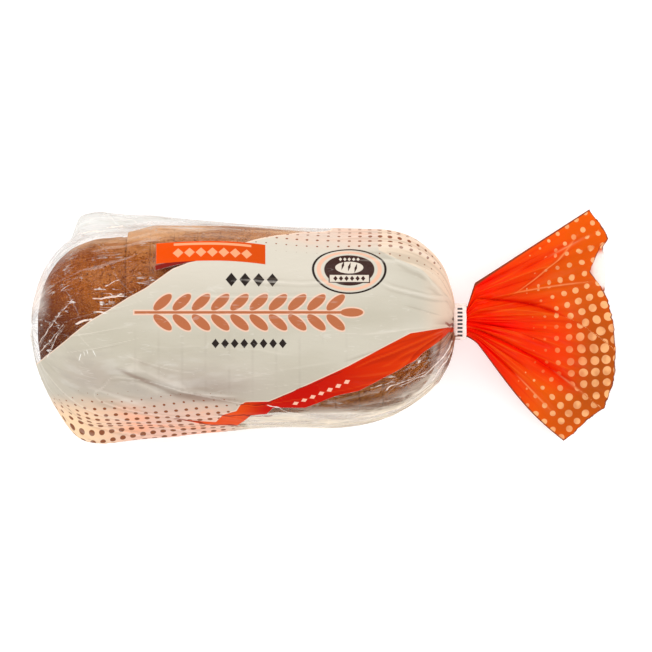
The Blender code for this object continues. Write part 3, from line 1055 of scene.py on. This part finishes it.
def print_ornament(graph, u, v, colour):
    """A wheat ear with a pale rim, and rows of diamonds over and under it."""
    ear_sizes = ((-0.0400, 0.0070), 0.0520, 0.0104)
    halo = wheat_ear(graph, u, v, *ear_sizes, 0.0008)
    ear_shape = wheat_ear(graph, u, v, *ear_sizes, 0.0)
    small = diamonds(graph, u, v, (-0.0385, 0.0243), 0.0074, (0.0031, 0.0036), 4)
    row = diamonds(graph, u, v, (-0.0400, -0.0098), 0.0052, (0.0021, 0.0026), 8)
    return graph.layers(
        colour,
        (halo, (0.88, 0.56, 0.42), 0.75),
        (ear_shape, (0.46, 0.145, 0.060)),
        (graph.larger(small, row), (0.020, 0.014, 0.012)),
    )


def print_badge(graph, u, v, colour):
    """An oval badge with rings, a plain loaf with cuts, grains over it and a ribbon below."""
    middle = 0.0142
    ribbon = (middle, 0.0257)
    dark, light = (0.045, 0.018, 0.014), (0.70, 0.62, 0.52)
    outer = ellipse(graph, u, v, (middle, 0.0310), (0.0203, 0.0140))
    line = graph.times(graph.between(outer, 0.925, 0.945), graph.between(outer, 1.01, 0.99))
    ring = graph.times(graph.between(outer, 0.75, 0.77), graph.between(outer, 0.88, 0.86))
    loaf = graph.between(ellipse(graph, u, v, (middle, 0.0322), (0.0076, 0.0036)), 1.02, 0.98)
    cuts = diamonds(graph, u, v, (middle, 0.0326), 0.0036, (0.0007, 0.0030), 3, math.radians(-14.0))
    return graph.layers(
        colour,
        (line, (0.020, 0.012, 0.010)),
        (ring, (0.80, 0.48, 0.34)),
        (graph.between(outer, 0.68, 0.66), dark),
        (loaf, light),
        (graph.times(cuts, loaf), dark),
        (diamonds(graph, u, v, (middle, 0.0375), 0.0024, (0.0009, 0.0012), 5), light),
        (inside_box(graph, u, v, ribbon, (0.0112, 0.0026)), dark),
        (inside_box(graph, u, v, ribbon, (0.0106, 0.0020)), light),
        (diamonds(graph, u, v, ribbon, 0.0030, (0.0012, 0.0015), 6), dark),
    )


def print_band(graph, u, v, colour, inside_band):
    """The diagonal red band, dark in its middle and bright at both ends, with a row of pale diamonds."""
    red = graph.mix(graph.between(u, -0.01, 0.05), (0.52, 0.005, 0.001), (0.64, 0.034, 0.002))
    red = graph.mix(graph.between(u, -0.030, -0.048), red, (0.74, 0.070, 0.006))
    marks = diamonds(graph, u, v, (-0.0010, -0.0385), 0.0052, (0.0019, 0.0014), 7, math.radians(27.0))
    return graph.layers(colour, (inside_band, red), (marks, (0.90, 0.50, 0.36)))


def pale_print(graph, flat, u, panel):
    """The pale panel with a light edge, running into peach where the dots are."""
    patches = graph.drawn_noise(flat, (40.0, 90.0, 1.0), -15.0, 2.0, 0.5)
    tone = graph.drawn_noise(flat, (14.0, 45.0, 1.0), -6.0, 2.0, 0.5)
    facets = graph.drawn_noise(flat, (38.0, 105.0, 1.0), -16.0, 3.0, 0.55, 0.2)
    peach = graph.times(graph.field("peach"), graph.linear(patches, 1.1, 0.40), clamp=True)
    slack = graph.times(graph.field("slack"), 0.36)
    shade = graph.field("shade")
    # The cuts between the slices show faintly through the pale print as darker lines, painted shade of the
    # gaps
    place = graph.apart(graph.math("FRACT", graph.times(u, SLICE_LINES)), 0.5)
    line = graph.times(graph.between(place, 0.40, 0.50), graph.between(patches, 0.35, 0.60))
    salmon = graph.mix(graph.between(facets, 0.42, 0.62), (0.82, 0.50, 0.39), (0.94, 0.43, 0.27))
    pale = graph.mix(graph.between(tone, 0.35, 0.65), (0.525, 0.485, 0.390), (0.580, 0.540, 0.445))
    return graph.layers(
        pale,
        (graph.field("painted_light_part"), (0.66, 0.610, 0.515)),
        (graph.field("shaded_part"), (0.455, 0.375, 0.320)),
        # Painted light and shade on the facets where the film lies slack
        (graph.times(graph.between(facets, 0.50, 0.68), slack), (0.70, 0.67, 0.61)),
        (graph.times(graph.between(facets, 0.50, 0.34), slack), (0.42, 0.375, 0.325)),
        (graph.times(line, graph.field("slices")), (0.36, 0.31, 0.25), 0.20),
        (graph.between(shade, 0.0, 1.0), (0.300, 0.220, 0.175), 0.92),
        (graph.between(shade, 0.0, -1.0), (0.740, 0.685, 0.590), 0.60),
        (peach, salmon),
        (graph.between(graph.field("corner"), -0.3, 0.3), (0.86, 0.66, 0.48), 0.55),
        (graph.field("neck"), (0.86, 0.63, 0.47), 0.60),
        (graph.field("yellow"), (0.94, 0.68, 0.42)),
        (graph.between(panel, 0.80, 0.35), (0.92, 0.66, 0.50), 0.60),
    )


def bare_film(graph, flat, v):
    """The colour of the unprinted film, dark and streaky where it is gathered: the crust behind, with
    painted shade between the gathers.
    """
    shaded = graph.mix(graph.between(v, 0.040, 0.060), (0.57, 0.51, 0.41), (0.67, 0.685, 0.66))
    tight = graph.drawn_noise(flat, (40.0, 600.0, 1.0), 0.0, 2.0, 0.5)
    crust_and_gather_shade = graph.mix(graph.between(tight, 0.40, 0.60), (0.15, 0.030, 0.010), (0.42, 0.17, 0.08))
    return graph.layers(
        graph.mix(graph.between(graph.field("haze"), 0.08, 0.45), (0.88, 0.85, 0.79), shaded),
        (graph.field("veil"), (0.80, 0.68, 0.52)),
        (graph.field("ear"), (0.66, 0.675, 0.645)),
        (graph.field("mist"), (0.92, 0.81, 0.74)),
        (graph.field("gathered"), crust_and_gather_shade),
    )


def shade_folds(graph, colour, crest, inside_panel, strong):
    """Painted light on the crests of the film's folds and painted shade in the furrows."""
    gathered = graph.field("gathered")
    furrow = graph.between(graph.field("crease"), -0.18, -0.95)
    crest_highlight = graph.mix(strong, (0.92, 0.84, 0.74), (0.84, 0.14, 0.012))
    crest_highlight = graph.mix(gathered, crest_highlight, (0.58, 0.27, 0.18))
    furrow_shade = graph.mix(inside_panel, (0.47, 0.41, 0.31), (0.26, 0.20, 0.14))
    furrow_shade = graph.mix(strong, furrow_shade, (0.30, 0.006, 0.001))
    furrow_shade = graph.mix(gathered, furrow_shade, (0.07, 0.010, 0.005))
    return graph.layers(
        colour,
        (graph.times(crest, graph.linear(strong, -0.02, 0.22)), crest_highlight),
        (furrow, furrow_shade, 0.24),
        # Painted shade in the gathers at the neck and along the fold lines
        (graph.field("gathers"), (0.16, 0.022, 0.012), 0.60),
        (crease_lines(graph, FOLD_SHADE_LINES, 0.0006), (0.20, 0.014, 0.006), 0.80),
    )


def film_glints(graph, flat, v, printed, strong):
    """Thin white glints on the sharp crinkles of the bare film."""
    glints = graph.larger(
        glint_lines(graph, flat, (34.0, 230.0), -30.0),
        glint_lines(graph, flat, (22.0, 210.0), 12.0),
    )
    calm = graph.larger(graph.between(v, 0.016, 0.030), graph.between(v, -0.026, -0.040))
    for share in (
        graph.linear(printed, -0.84, 1.0),
        graph.minus(1.0, strong),
        graph.linear(graph.field("neck"), -0.75, 0.85),
        graph.linear(calm, -0.50, 1.0),
    ):
        glints = graph.times(glints, share)
    return glints


def film_cover(graph, flat, crest, glints, printed):
    """How much the film hides: almost all under print, and cloudy streaks where it is bare."""
    streaks = graph.drawn_noise(flat, (30.0, 230.0, 1.0), 6.0, 3.0, 0.6, 0.2)
    below = graph.field("below")
    veil_contrast = graph.linear(below, -0.50, 0.65)
    veil_least = graph.linear(below, 0.25, 0.20)
    veil = graph.linear(graph.between(streaks, 0.38, 0.62), veil_contrast, veil_least)
    ear_streaks = graph.linear(graph.between(streaks, 0.40, 0.66), 0.30, 0.34)
    mist_streaks = graph.linear(graph.between(streaks, 0.36, 0.66), 0.30, 0.55)
    haze = graph.times(graph.field("haze"), graph.linear(graph.between(streaks, 0.42, 0.70), 1.2, 0.35))
    for cloud in (
        graph.times(graph.field("veil"), veil),
        graph.times(graph.field("gathered"), 0.85),
        graph.times(graph.field("ear"), ear_streaks),
        graph.times(graph.math("POWER", graph.field("mist"), 1.5), mist_streaks),
    ):
        haze = graph.larger(haze, cloud)
    # Painted highlights: the crests and the glints hide more of what lies behind
    haze = graph.linear(crest, 0.13, haze, clamp=True)
    haze = graph.larger(haze, graph.times(glints, 0.80))
    return graph.larger(graph.times(printed, 0.97), haze)


def body_film_material():
    graph = Graph("printed_bread_film")
    flat, u, v = graph.film_place()
    panel = graph.field("panel")
    inside_panel = graph.between(panel, -0.12, 0.12)
    inside_band = graph.between(graph.field("band"), -0.12, 0.12)
    crest = graph.between(graph.field("crease"), 0.18, 0.95)
    dot_place = (graph.field("dot_u"), graph.field("dot_v"))
    dots = lattice_dots(graph, *dot_place, graph.field("dot_radius"), BODY_DOT_PITCH)
    dots = graph.times(dots, graph.times(inside_panel, graph.minus(1.0, inside_band)))

    colour = graph.mix(inside_panel, bare_film(graph, flat, v), pale_print(graph, flat, u, panel))
    colour = graph.mix(dots, colour, (0.25, 0.075, 0.030))
    colour = print_band(graph, u, v, colour, inside_band)
    colour, label = print_label(graph, u, v, colour)
    colour = print_ornament(graph, u, v, colour)
    colour = print_badge(graph, u, v, colour)
    strong = graph.larger(inside_band, label)
    printed = graph.larger(graph.larger(inside_panel, inside_band), label)
    colour = shade_folds(graph, colour, crest, inside_panel, strong)

    # Painted glints on the crinkles of the bare film and along the sharp creases
    glints = film_glints(graph, flat, v, printed, strong)
    creases = crease_lines(graph, GLINT_LINES, 0.0007)
    glint_tint = graph.mix(printed, (0.96, 0.80, 0.70), (0.90, 0.88, 0.83))
    colour = graph.layers(colour, (glints, (0.95, 0.91, 0.86)), (creases, glint_tint))
    cover = film_cover(graph, flat, crest, graph.larger(glints, creases), printed)

    fine = graph.drawn_noise(flat, (160.0, 420.0, 1.0), 10.0, 3.0, 0.6, 0.3)
    wrinkles = graph.drawn_noise(flat, (45.0, 150.0, 1.0), 14.0, 2.0, 0.5, 0.6)
    normal = graph.bump(graph.linear(wrinkles, 2.2, fine), 0.00040, 0.5)
    gloss_most = graph.linear(strong, -0.004, 0.006)
    return graph.finish(film_shader(graph, colour, cover, 0.50, normal, 0.15, 0.12, gloss_most))


# The tail

# Creases of the tail: place across it at the neck and at the free edge (-1 near, 1 far), half width,
# height in metres (below zero is a furrow) and where along the tail it starts and ends
TAIL_CREASES = (
    (-0.30, -0.62, 0.050, -0.0040, 0.00, 0.84),
    (0.02, -0.42, 0.035, -0.0022, 0.00, 0.60),
    (0.75, -0.15, 0.045, -0.0036, 0.00, 0.74),
    (0.80, 0.83, 0.040, -0.0024, 0.35, 0.96),
    (0.45, -0.02, 0.060, 0.0022, 0.05, 0.80),
    (-0.62, -0.80, 0.090, 0.0024, 0.05, 0.95),
    (0.64, 0.46, 0.022, 0.0022, 0.36, 0.95),
    (0.30, 0.99, 0.020, 0.0018, 0.38, 0.84),
    (-0.05, -0.30, 0.040, 0.0016, 0.10, 0.70),
    (-0.72, -0.90, 0.018, 0.0012, 0.42, 0.78),
)

# Flat panels between the creases: their far limit across at the neck and at the free edge, and the
# direction in degrees in which the film of each runs
TAIL_PANELS = (
    (-0.30, -0.62, -44.0),
    (0.75, -0.15, 3.0),
    (0.64, 0.46, 17.0),
    (0.80, 0.83, 13.0),
    (9.0, 9.0, 36.0),
)
# Sharp painted highlights along creases of the tail: place across at the neck and at the edge, and where
# each starts and ends
TAIL_HIGHLIGHT_LINES = (
    (0.64, 0.46, 0.38, 0.95),
    (0.30, 0.99, 0.40, 0.82),
    (0.80, 0.83, 0.60, 0.90),
    (-0.72, -0.90, 0.42, 0.78),
    (-0.30, -0.62, 0.62, 0.88),
)
TAIL_NOTCH_CORNERS = ((12.0, 0.0782), (22.3, 0.0736), (29.3, 0.0845), (30.4, 0.0915))


def tail_edge(share, notched):
    """The free edge in plan; the upper film also has a torn notch."""
    corners = list(TAIL_CORNERS)
    if notched:
        first, last = TAIL_NOTCH_CORNERS[0][0], TAIL_NOTCH_CORNERS[-1][0]
        corners = [corner for corner in corners if not first <= corner[0] <= last]
        corners = sorted(corners + list(TAIL_NOTCH_CORNERS))
    angle = blend(TAIL_CORNERS[0][0], TAIL_CORNERS[-1][0], (share + 1.0) / 2.0)
    radius = np.interp(angle, [corner[0] for corner in corners], [corner[1] for corner in corners])
    turn = np.radians(angle)
    return TAIL_X + radius * np.cos(turn), NECK_Y + radius * np.sin(turn)


def tail_side_shift(share, reach):
    """How the tail's two side edges leave the straight line, as in the solids."""
    bulge = TAIL_FAR_BULGE * np.maximum(share, 0.0) ** 2 * (1.0 - reach) * np.minimum(1.0, reach / 0.06)
    sway = np.sin(math.pi * (1.35 * reach - 0.35)) * np.minimum(1.0, reach / 0.1)
    return bulge - TAIL_NEAR_SWAY * np.minimum(share, 0.0) ** 2 * sway


def tail_crease(share, reach, at_neck, at_edge, half_width, height, start, end):
    """One crease, fading in and out along the tail."""
    place = blend(at_neck, at_edge, reach)
    along = step(reach, start - 0.05, start + 0.12) * (1.0 - step(reach, end - 0.2, end + 0.05))
    return height * along * np.exp(-((np.abs(share - place) / half_width) ** 1.3))


def tail_film_place(x, y, share, reach):
    """The film's own coordinates: each flat panel is turned its own way."""
    from_neck_x, from_neck_y = x - TAIL_X, y - NECK_Y
    u = np.zeros_like(x)
    v = np.zeros_like(x)
    taken = np.zeros(x.shape, bool)
    for index, (at_neck, at_edge, direction) in enumerate(TAIL_PANELS):
        here = ~taken & (share < blend(at_neck, at_edge, reach))
        along, across = turned(from_neck_x, from_neck_y, direction)
        u[here] = along[here]
        v[here] = across[here] + 0.0017 * index
        taken |= here
    return u, v


def tail_layer(name, side, rows, columns, seed):
    """One of the tail's two films: side is 1 for the upper and -1 for the lower."""
    free_rows = rows - TAIL_ROWS_IN_BAND
    inside_band = np.linspace(0.0040, 0.0012, TAIL_ROWS_IN_BAND)[:, None]
    reach = np.concatenate((0.0 * inside_band, np.linspace(0.0, 1.0, free_rows)[:, None] ** 1.1))
    back = np.concatenate((inside_band, np.zeros((free_rows, 1))))
    share = np.linspace(-1.0, 1.0, columns)[None, :]
    reach, share = (np.array(values) for values in np.broadcast_arrays(reach, share))
    edge_x, edge_y = tail_edge(share, side > 0.0)
    uneven = value_noise(share * 40.0 + 3.0, np.full_like(share, 0.5), seed + 6)
    ragged = 1.0 + 0.006 * uneven * step(reach, 0.8, 1.0)
    x = blend(TAIL_X, edge_x, reach * ragged) - back
    y = blend(NECK_Y + share * NECK_HALF_WIDTH, edge_y, reach * ragged) + tail_side_shift(share, reach)
    middle = blend(NECK_Z, TAIL_EDGE_Z, reach * reach * (2.0 - reach))
    spread = step(reach, 0.0, 0.3)
    round_half = NECK_HALF_HEIGHT * np.sqrt(np.clip(1.0 - share * share, 0.0, 1.0))
    flat_half = (TAIL_EDGE_THICKNESS + TAIL_LOOSENESS * (1.0 - share * share)) / 2.0
    half = blend(round_half, flat_half, spread)
    warp = share + 0.05 * value_noise(share * 3.0, reach * 2.0 + 4.0, seed)
    broad = value_noise(warp * 4.0 + 20.0, reach * 1.3 + 2.0, seed + 1)
    narrow = value_noise(warp * 12.0 + 7.0, reach * 2.0 + 9.0, seed + 2)
    rise = step(reach, 0.02, 0.35)
    pleat = rise * (0.0020 * broad + 0.0006 * narrow)
    for crease in TAIL_CREASES:
        pleat = pleat + tail_crease(share, reach, *crease)
    random = np.random.default_rng(seed + 3)
    for index in range(20):
        at_neck = (index - 9.5) / 10.5 + random.uniform(-0.03, 0.03)
        at_edge = at_neck * 0.9 + random.uniform(-0.12, 0.12)
        height = random.uniform(0.0006, 0.0013) * (-1.0) ** index
        end = random.uniform(0.3, 0.7)
        pleat = pleat + tail_crease(share, reach, at_neck, at_edge, 0.020, height, 0.0, end)
    gathers = 0.0004 * (1.0 - step(reach, 0.15, 0.5)) * np.sin(share * 26.0 + 3.0 * broad)
    highlight_line = np.zeros_like(reach)
    for at_neck, at_edge, start, end in TAIL_HIGHLIGHT_LINES:
        highlight_line += np.abs(tail_crease(share, reach, at_neck, at_edge, 0.008, 1.0, start, end))
    z = middle + side * half + pleat + gathers
    points = np.stack((x, y, np.maximum(z, 0.0006)), axis=-1)
    far_part = step(share, 0.1, 0.7)
    middle_part = np.exp(-(((share + 0.15) / 0.45) ** 2))
    size = (0.45 + 0.55 * step(reach, 0.50, 0.85)) * step(reach, 0.34, 0.62)
    size = size * (1.8 + 0.66 * middle_part - 0.40 * far_part)
    # Red near the neck fading to orange; deeper red in the furrows and more orange on the crests, painted
    # shade and light of the pleats
    red = 1.14 - 1.06 * reach - 110.0 * pleat - 0.22 * share * share * step(reach, 0.1, 0.4)
    sides = (1.0 - np.abs(share)) * 40.0 * (0.1 + reach)
    free_edge = (1.0 - reach) * 62.0 - 0.25 * value_noise(share * 24.0, reach * 0.0, seed + 12)
    bare = step(reach, 0.86, 0.93) * step(share, 0.36, 0.42) * (1.0 - step(share, 0.64, 0.70))
    fields = {
        "crease": fold_marks(pleat, 5000.0) * step(reach, 0.02, 0.12),
        "highlight_line": np.clip(highlight_line, 0.0, 1.0),
        "red": np.clip(red, 0.0, 1.0),
        "brown": step(reach, 0.62, 0.90) * np.exp(-(((share + 0.28) / 0.72) ** 2)),
        "dot_radius": size * (1.0 + 0.16 * value_noise(x / 0.007, y / 0.007, seed + 10)),
        # Painted light and shade of fine crinkles running out from the neck
        "streaks": value_noise(warp * 34.0, reach * 4.0 + 5.0, seed + 11) * (1.0 - 0.5 * reach),
        "rim": np.minimum(sides, free_edge),
        "bare": np.clip(bare, 0.0, 1.0),
    }
    u, v = tail_film_place(x, y, share, reach)
    u = u + 0.0007 * turned_noise(x, y, 20.0, 0.016, 0.009, seed + 8) + 0.10 * pleat
    v = v + 0.0007 * turned_noise(x, y, -30.0, 0.015, 0.010, seed + 9) + 0.25 * pleat
    layer = grid_mesh(name, points, u, v, False, fields)
    layer.data.materials.append(tail_film_material(name, side))
    return layer


def tail_film_material(name, side):
    graph = Graph(name + "_print")
    flat, u, v = graph.film_place()
    dots = lattice_dots(graph, u, v, graph.field("dot_radius"), TAIL_DOT_PITCH)
    red = graph.field("red")
    streaks = graph.field("streaks")
    crease = graph.field("crease")
    shade = graph.noise(graph.object_place(), 55.0, 2.0, 0.5)
    faded = graph.between(graph.noise(graph.object_place(), 120.0, 2.0, 0.5), 0.36, 0.56)
    spot = graph.mix(graph.between(red, 0.22, 0.65), (0.90, 0.46, 0.19), (0.88, 0.15, 0.035))
    colour = graph.mix(graph.between(red, 0.10, 0.40), (0.74, 0.096, 0.001), (0.80, 0.056, 0.001))
    colour = graph.layers(
        colour,
        (graph.between(red, 0.35, 0.72), (0.84, 0.024, 0.0005)),
        (graph.between(red, 0.72, 1.0), (0.98, 0.003, 0.0005)),
        (graph.between(shade, 0.45, 0.75), (0.84, 0.090, 0.001), 0.30),
        # Painted light and shade of the fine crinkles
        (graph.between(streaks, 0.15, 0.75), (0.90, 0.130, 0.006), 0.40),
        (graph.between(streaks, -0.15, -0.75), (0.66, 0.008, 0.0005), 0.40),
        (graph.field("brown"), (0.38, 0.075, 0.005), 0.92),
        (graph.times(dots, graph.linear(faded, 0.40, 0.60)), spot),
        # Painted light on the crests and painted shade in the furrows
        (graph.between(crease, 0.10, 0.95), (0.88, 0.16, 0.020), 0.40),
        (graph.between(crease, -0.10, -0.95), (0.55, 0.004, 0.0005), 0.40),
        (graph.field("highlight_line"), (0.90, 0.36, 0.14), 0.70),
        (graph.between(graph.field("rim"), 0.60, 0.20), (0.22, 0.045, 0.015)),
    )
    cover = graph.linear(dots, -0.08, 0.99)
    through = 0.22
    if side < 0.0:
        # The lower film is bare where it shows past the notch, and lets less light through
        bare = graph.field("bare")
        colour = graph.mix(bare, colour, (0.92, 0.80, 0.70))
        cover = graph.times(cover, graph.linear(bare, -0.55, 1.0))
        through = 0.08
    fine = graph.drawn_noise(flat, (300.0, 300.0, 1.0), 0.0, 3.0, 0.6, 0.3)
    normal = graph.bump(fine, 0.0002, 0.3)
    return graph.finish(film_shader(graph, colour, cover, 0.50, normal, through, 0.16, 0.003))


# The band round the neck

def make_band():
    """A flat white strap closed round the gathered film, with slightly uneven edges."""
    angle = np.linspace(0.0, 2.0 * math.pi, BAND_COLUMNS, endpoint=False)[None, :]
    outline = [0.0, 0.06, 0.14] + list(np.linspace(0.25, 0.75, 7)) + [0.86, 0.94, 1.0]
    rows = []
    for wall, profile in ((1.0, outline), (0.0, outline[::-1])):
        for place in profile:
            rows.append((place, wall))
    rows.append(rows[0])
    low, high = BAND_BOX
    centre_x = (low.x + high.x) / 2.0 - SHIFT[0]
    half_x = (high.x - low.x) / 2.0
    half_y = (high.y - low.y) / 2.0
    half_z = (high.z - low.z) / 2.0
    points = []
    for place, wall in rows:
        round_off = 0.00025 * (abs(2.0 * place - 1.0) ** 6)
        wall_drop = 0.0010 * (1.0 - wall)
        uneven = 0.00018 * value_noise(angle * 5.0, np.full_like(angle, place * 2.0), 51)
        ring_y = NECK_Y + (half_y - round_off * wall - wall_drop + uneven) * np.cos(angle)
        ring_z = NECK_Z + (half_z - round_off * wall - wall_drop + uneven) * np.sin(angle)
        edge = 0.00020 * value_noise(angle * 3.0 + 2.0, np.full_like(angle, 3.0), 52)
        ring_x = centre_x + half_x * (2.0 * place - 1.0) + edge
        points.append(np.stack((np.broadcast_to(ring_x, ring_y.shape), ring_y, ring_z), axis=-1)[0])
    points = np.array(points)
    u = np.repeat(np.linspace(0.0, 1.0, len(rows))[:, None], BAND_COLUMNS + 1, axis=1)
    v = np.repeat(np.linspace(0.0, 1.0, BAND_COLUMNS + 1)[None, :], len(rows), axis=0)
    band = grid_mesh("band", points, u, v, True, {})
    band.data.materials.append(band_material())
    return band


def band_material():
    graph = Graph("white_band_plastic")
    place = graph.object_place()
    parts = graph.add("ShaderNodeSeparateXYZ", Vector=place)
    speck = graph.noise(place, 900.0, 3.0, 0.6)
    colour = graph.mix(graph.between(speck, 0.4, 0.7), (0.92, 0.76, 0.69), (0.82, 0.62, 0.55))
    # A row of plain dark strokes
    stroke_pitch = 0.0021
    row = graph.math("FRACT", graph.times(parts.outputs["Y"], 1.0 / stroke_pitch))
    stroke = graph.between(graph.minus(0.28, graph.apart(row, 0.5)), -0.05, 0.05)
    middle = (BAND_BOX[0].x + BAND_BOX[1].x) / 2.0
    tall = graph.between(graph.minus(0.0014, graph.apart(parts.outputs["X"], middle)), -0.0001, 0.0001)
    mark = graph.times(graph.times(stroke, tall), graph.between(parts.outputs["Z"], 0.0325, 0.0335))
    colour = graph.mix(mark, colour, (0.03, 0.03, 0.035))
    shader = graph.add("ShaderNodeBsdfPrincipled", Base_Color=colour, Roughness=0.42)
    graph.feed(shader.inputs["Normal"], graph.bump(speck, 0.0002, 0.3))
    return graph.finish(shader.outputs[0])


# Floor, light and camera

def make_floor():
    mesh = bpy.data.meshes.new("floor")
    size = FLOOR_HALF_SIZE
    corners = [(-size, -size, 0.0), (size, -size, 0.0), (size, size, 0.0), (-size, size, 0.0)]
    mesh.from_pydata(corners, [], [(0, 1, 2, 3)])
    floor = bpy.data.objects.new("floor", mesh)
    bpy.context.scene.collection.objects.link(floor)
    graph = Graph("pale_floor")
    shader = graph.add("ShaderNodeBsdfPrincipled", Base_Color=(0.80, 0.80, 0.80, 1.0), Roughness=0.8)
    shader.inputs["Emission Color"].default_value = (1.0, 1.0, 1.0, 1.0)
    shader.inputs["Emission Strength"].default_value = FLOOR_GLOW
    mesh.materials.append(graph.finish(shader.outputs[0]))


def add_lamp(name, place, target, size, power):
    data = bpy.data.lights.new(name, "AREA")
    data.shape = "RECTANGLE"
    data.size, data.size_y = size
    data.energy = power
    lamp = bpy.data.objects.new(name, data)
    lamp.location = place
    lamp.rotation_euler = (Vector(target) - Vector(place)).to_track_quat("-Z", "Y").to_euler()
    bpy.context.scene.collection.objects.link(lamp)


def make_light():
    world = bpy.data.worlds.new("studio")
    bpy.context.scene.world = world
    world.use_nodes = True
    background = world.node_tree.nodes["Background"]
    background.inputs["Color"].default_value = (1.0, 1.0, 1.0, 1.0)
    background.inputs["Strength"].default_value = WORLD_BRIGHTNESS
    add_lamp("key", (-0.35, 1.25, 1.05), (0.0, 0.0, 0.03), (1.2, 0.5), 5.0)
    for name, place, target, length in (
        ("far_strip", (-0.55, 1.10, 1.60), (-0.08, 0.0, 0.06), 0.50),
        ("near_strip", (0.35, -1.20, 1.10), (0.04, 0.0, 0.04), 0.60),
        ("left_strip", (-1.50, 0.25, 1.10), (-0.10, 0.0, 0.05), 0.60),
        ("right_strip", (1.50, 0.35, 1.30), (0.10, 0.0, 0.03), 0.60),
    ):
        add_lamp(name, place, target, (length, STRIP_WIDTH), STRIP_POWER)
    bpy.context.scene.view_settings.view_transform = "Standard"


def make_camera():
    data = bpy.data.cameras.new("camera")
    data.sensor_width = 36.0
    field = METRES_PER_PIXEL * PICTURE_SIZE
    data.lens = data.sensor_width * (CAMERA_HEIGHT - MIDDLE_Z) / field
    data.clip_end = 20.0
    camera = bpy.data.objects.new("camera", data)
    camera.location = (CAMERA_X, 0.0, CAMERA_HEIGHT)
    bpy.context.scene.collection.objects.link(camera)
    bpy.context.scene.camera = camera


def main():
    make_camera()
    make_floor()
    make_light()
    loaf = make_loaf()
    film = make_body_film()
    tail_top = tail_layer("tail_film_upper", 1.0, TAIL_ROWS, TAIL_COLUMNS, 61)
    tail_low = tail_layer("tail_film_lower", -1.0, TAIL_ROWS, TAIL_COLUMNS // 2, 71)
    band = make_band()
    for piece in (loaf, film, tail_top, tail_low, band):
        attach(piece, "root")
    for piece in (loaf, film, tail_top, tail_low):
        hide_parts("bag")
    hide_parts("neck_band")


main()
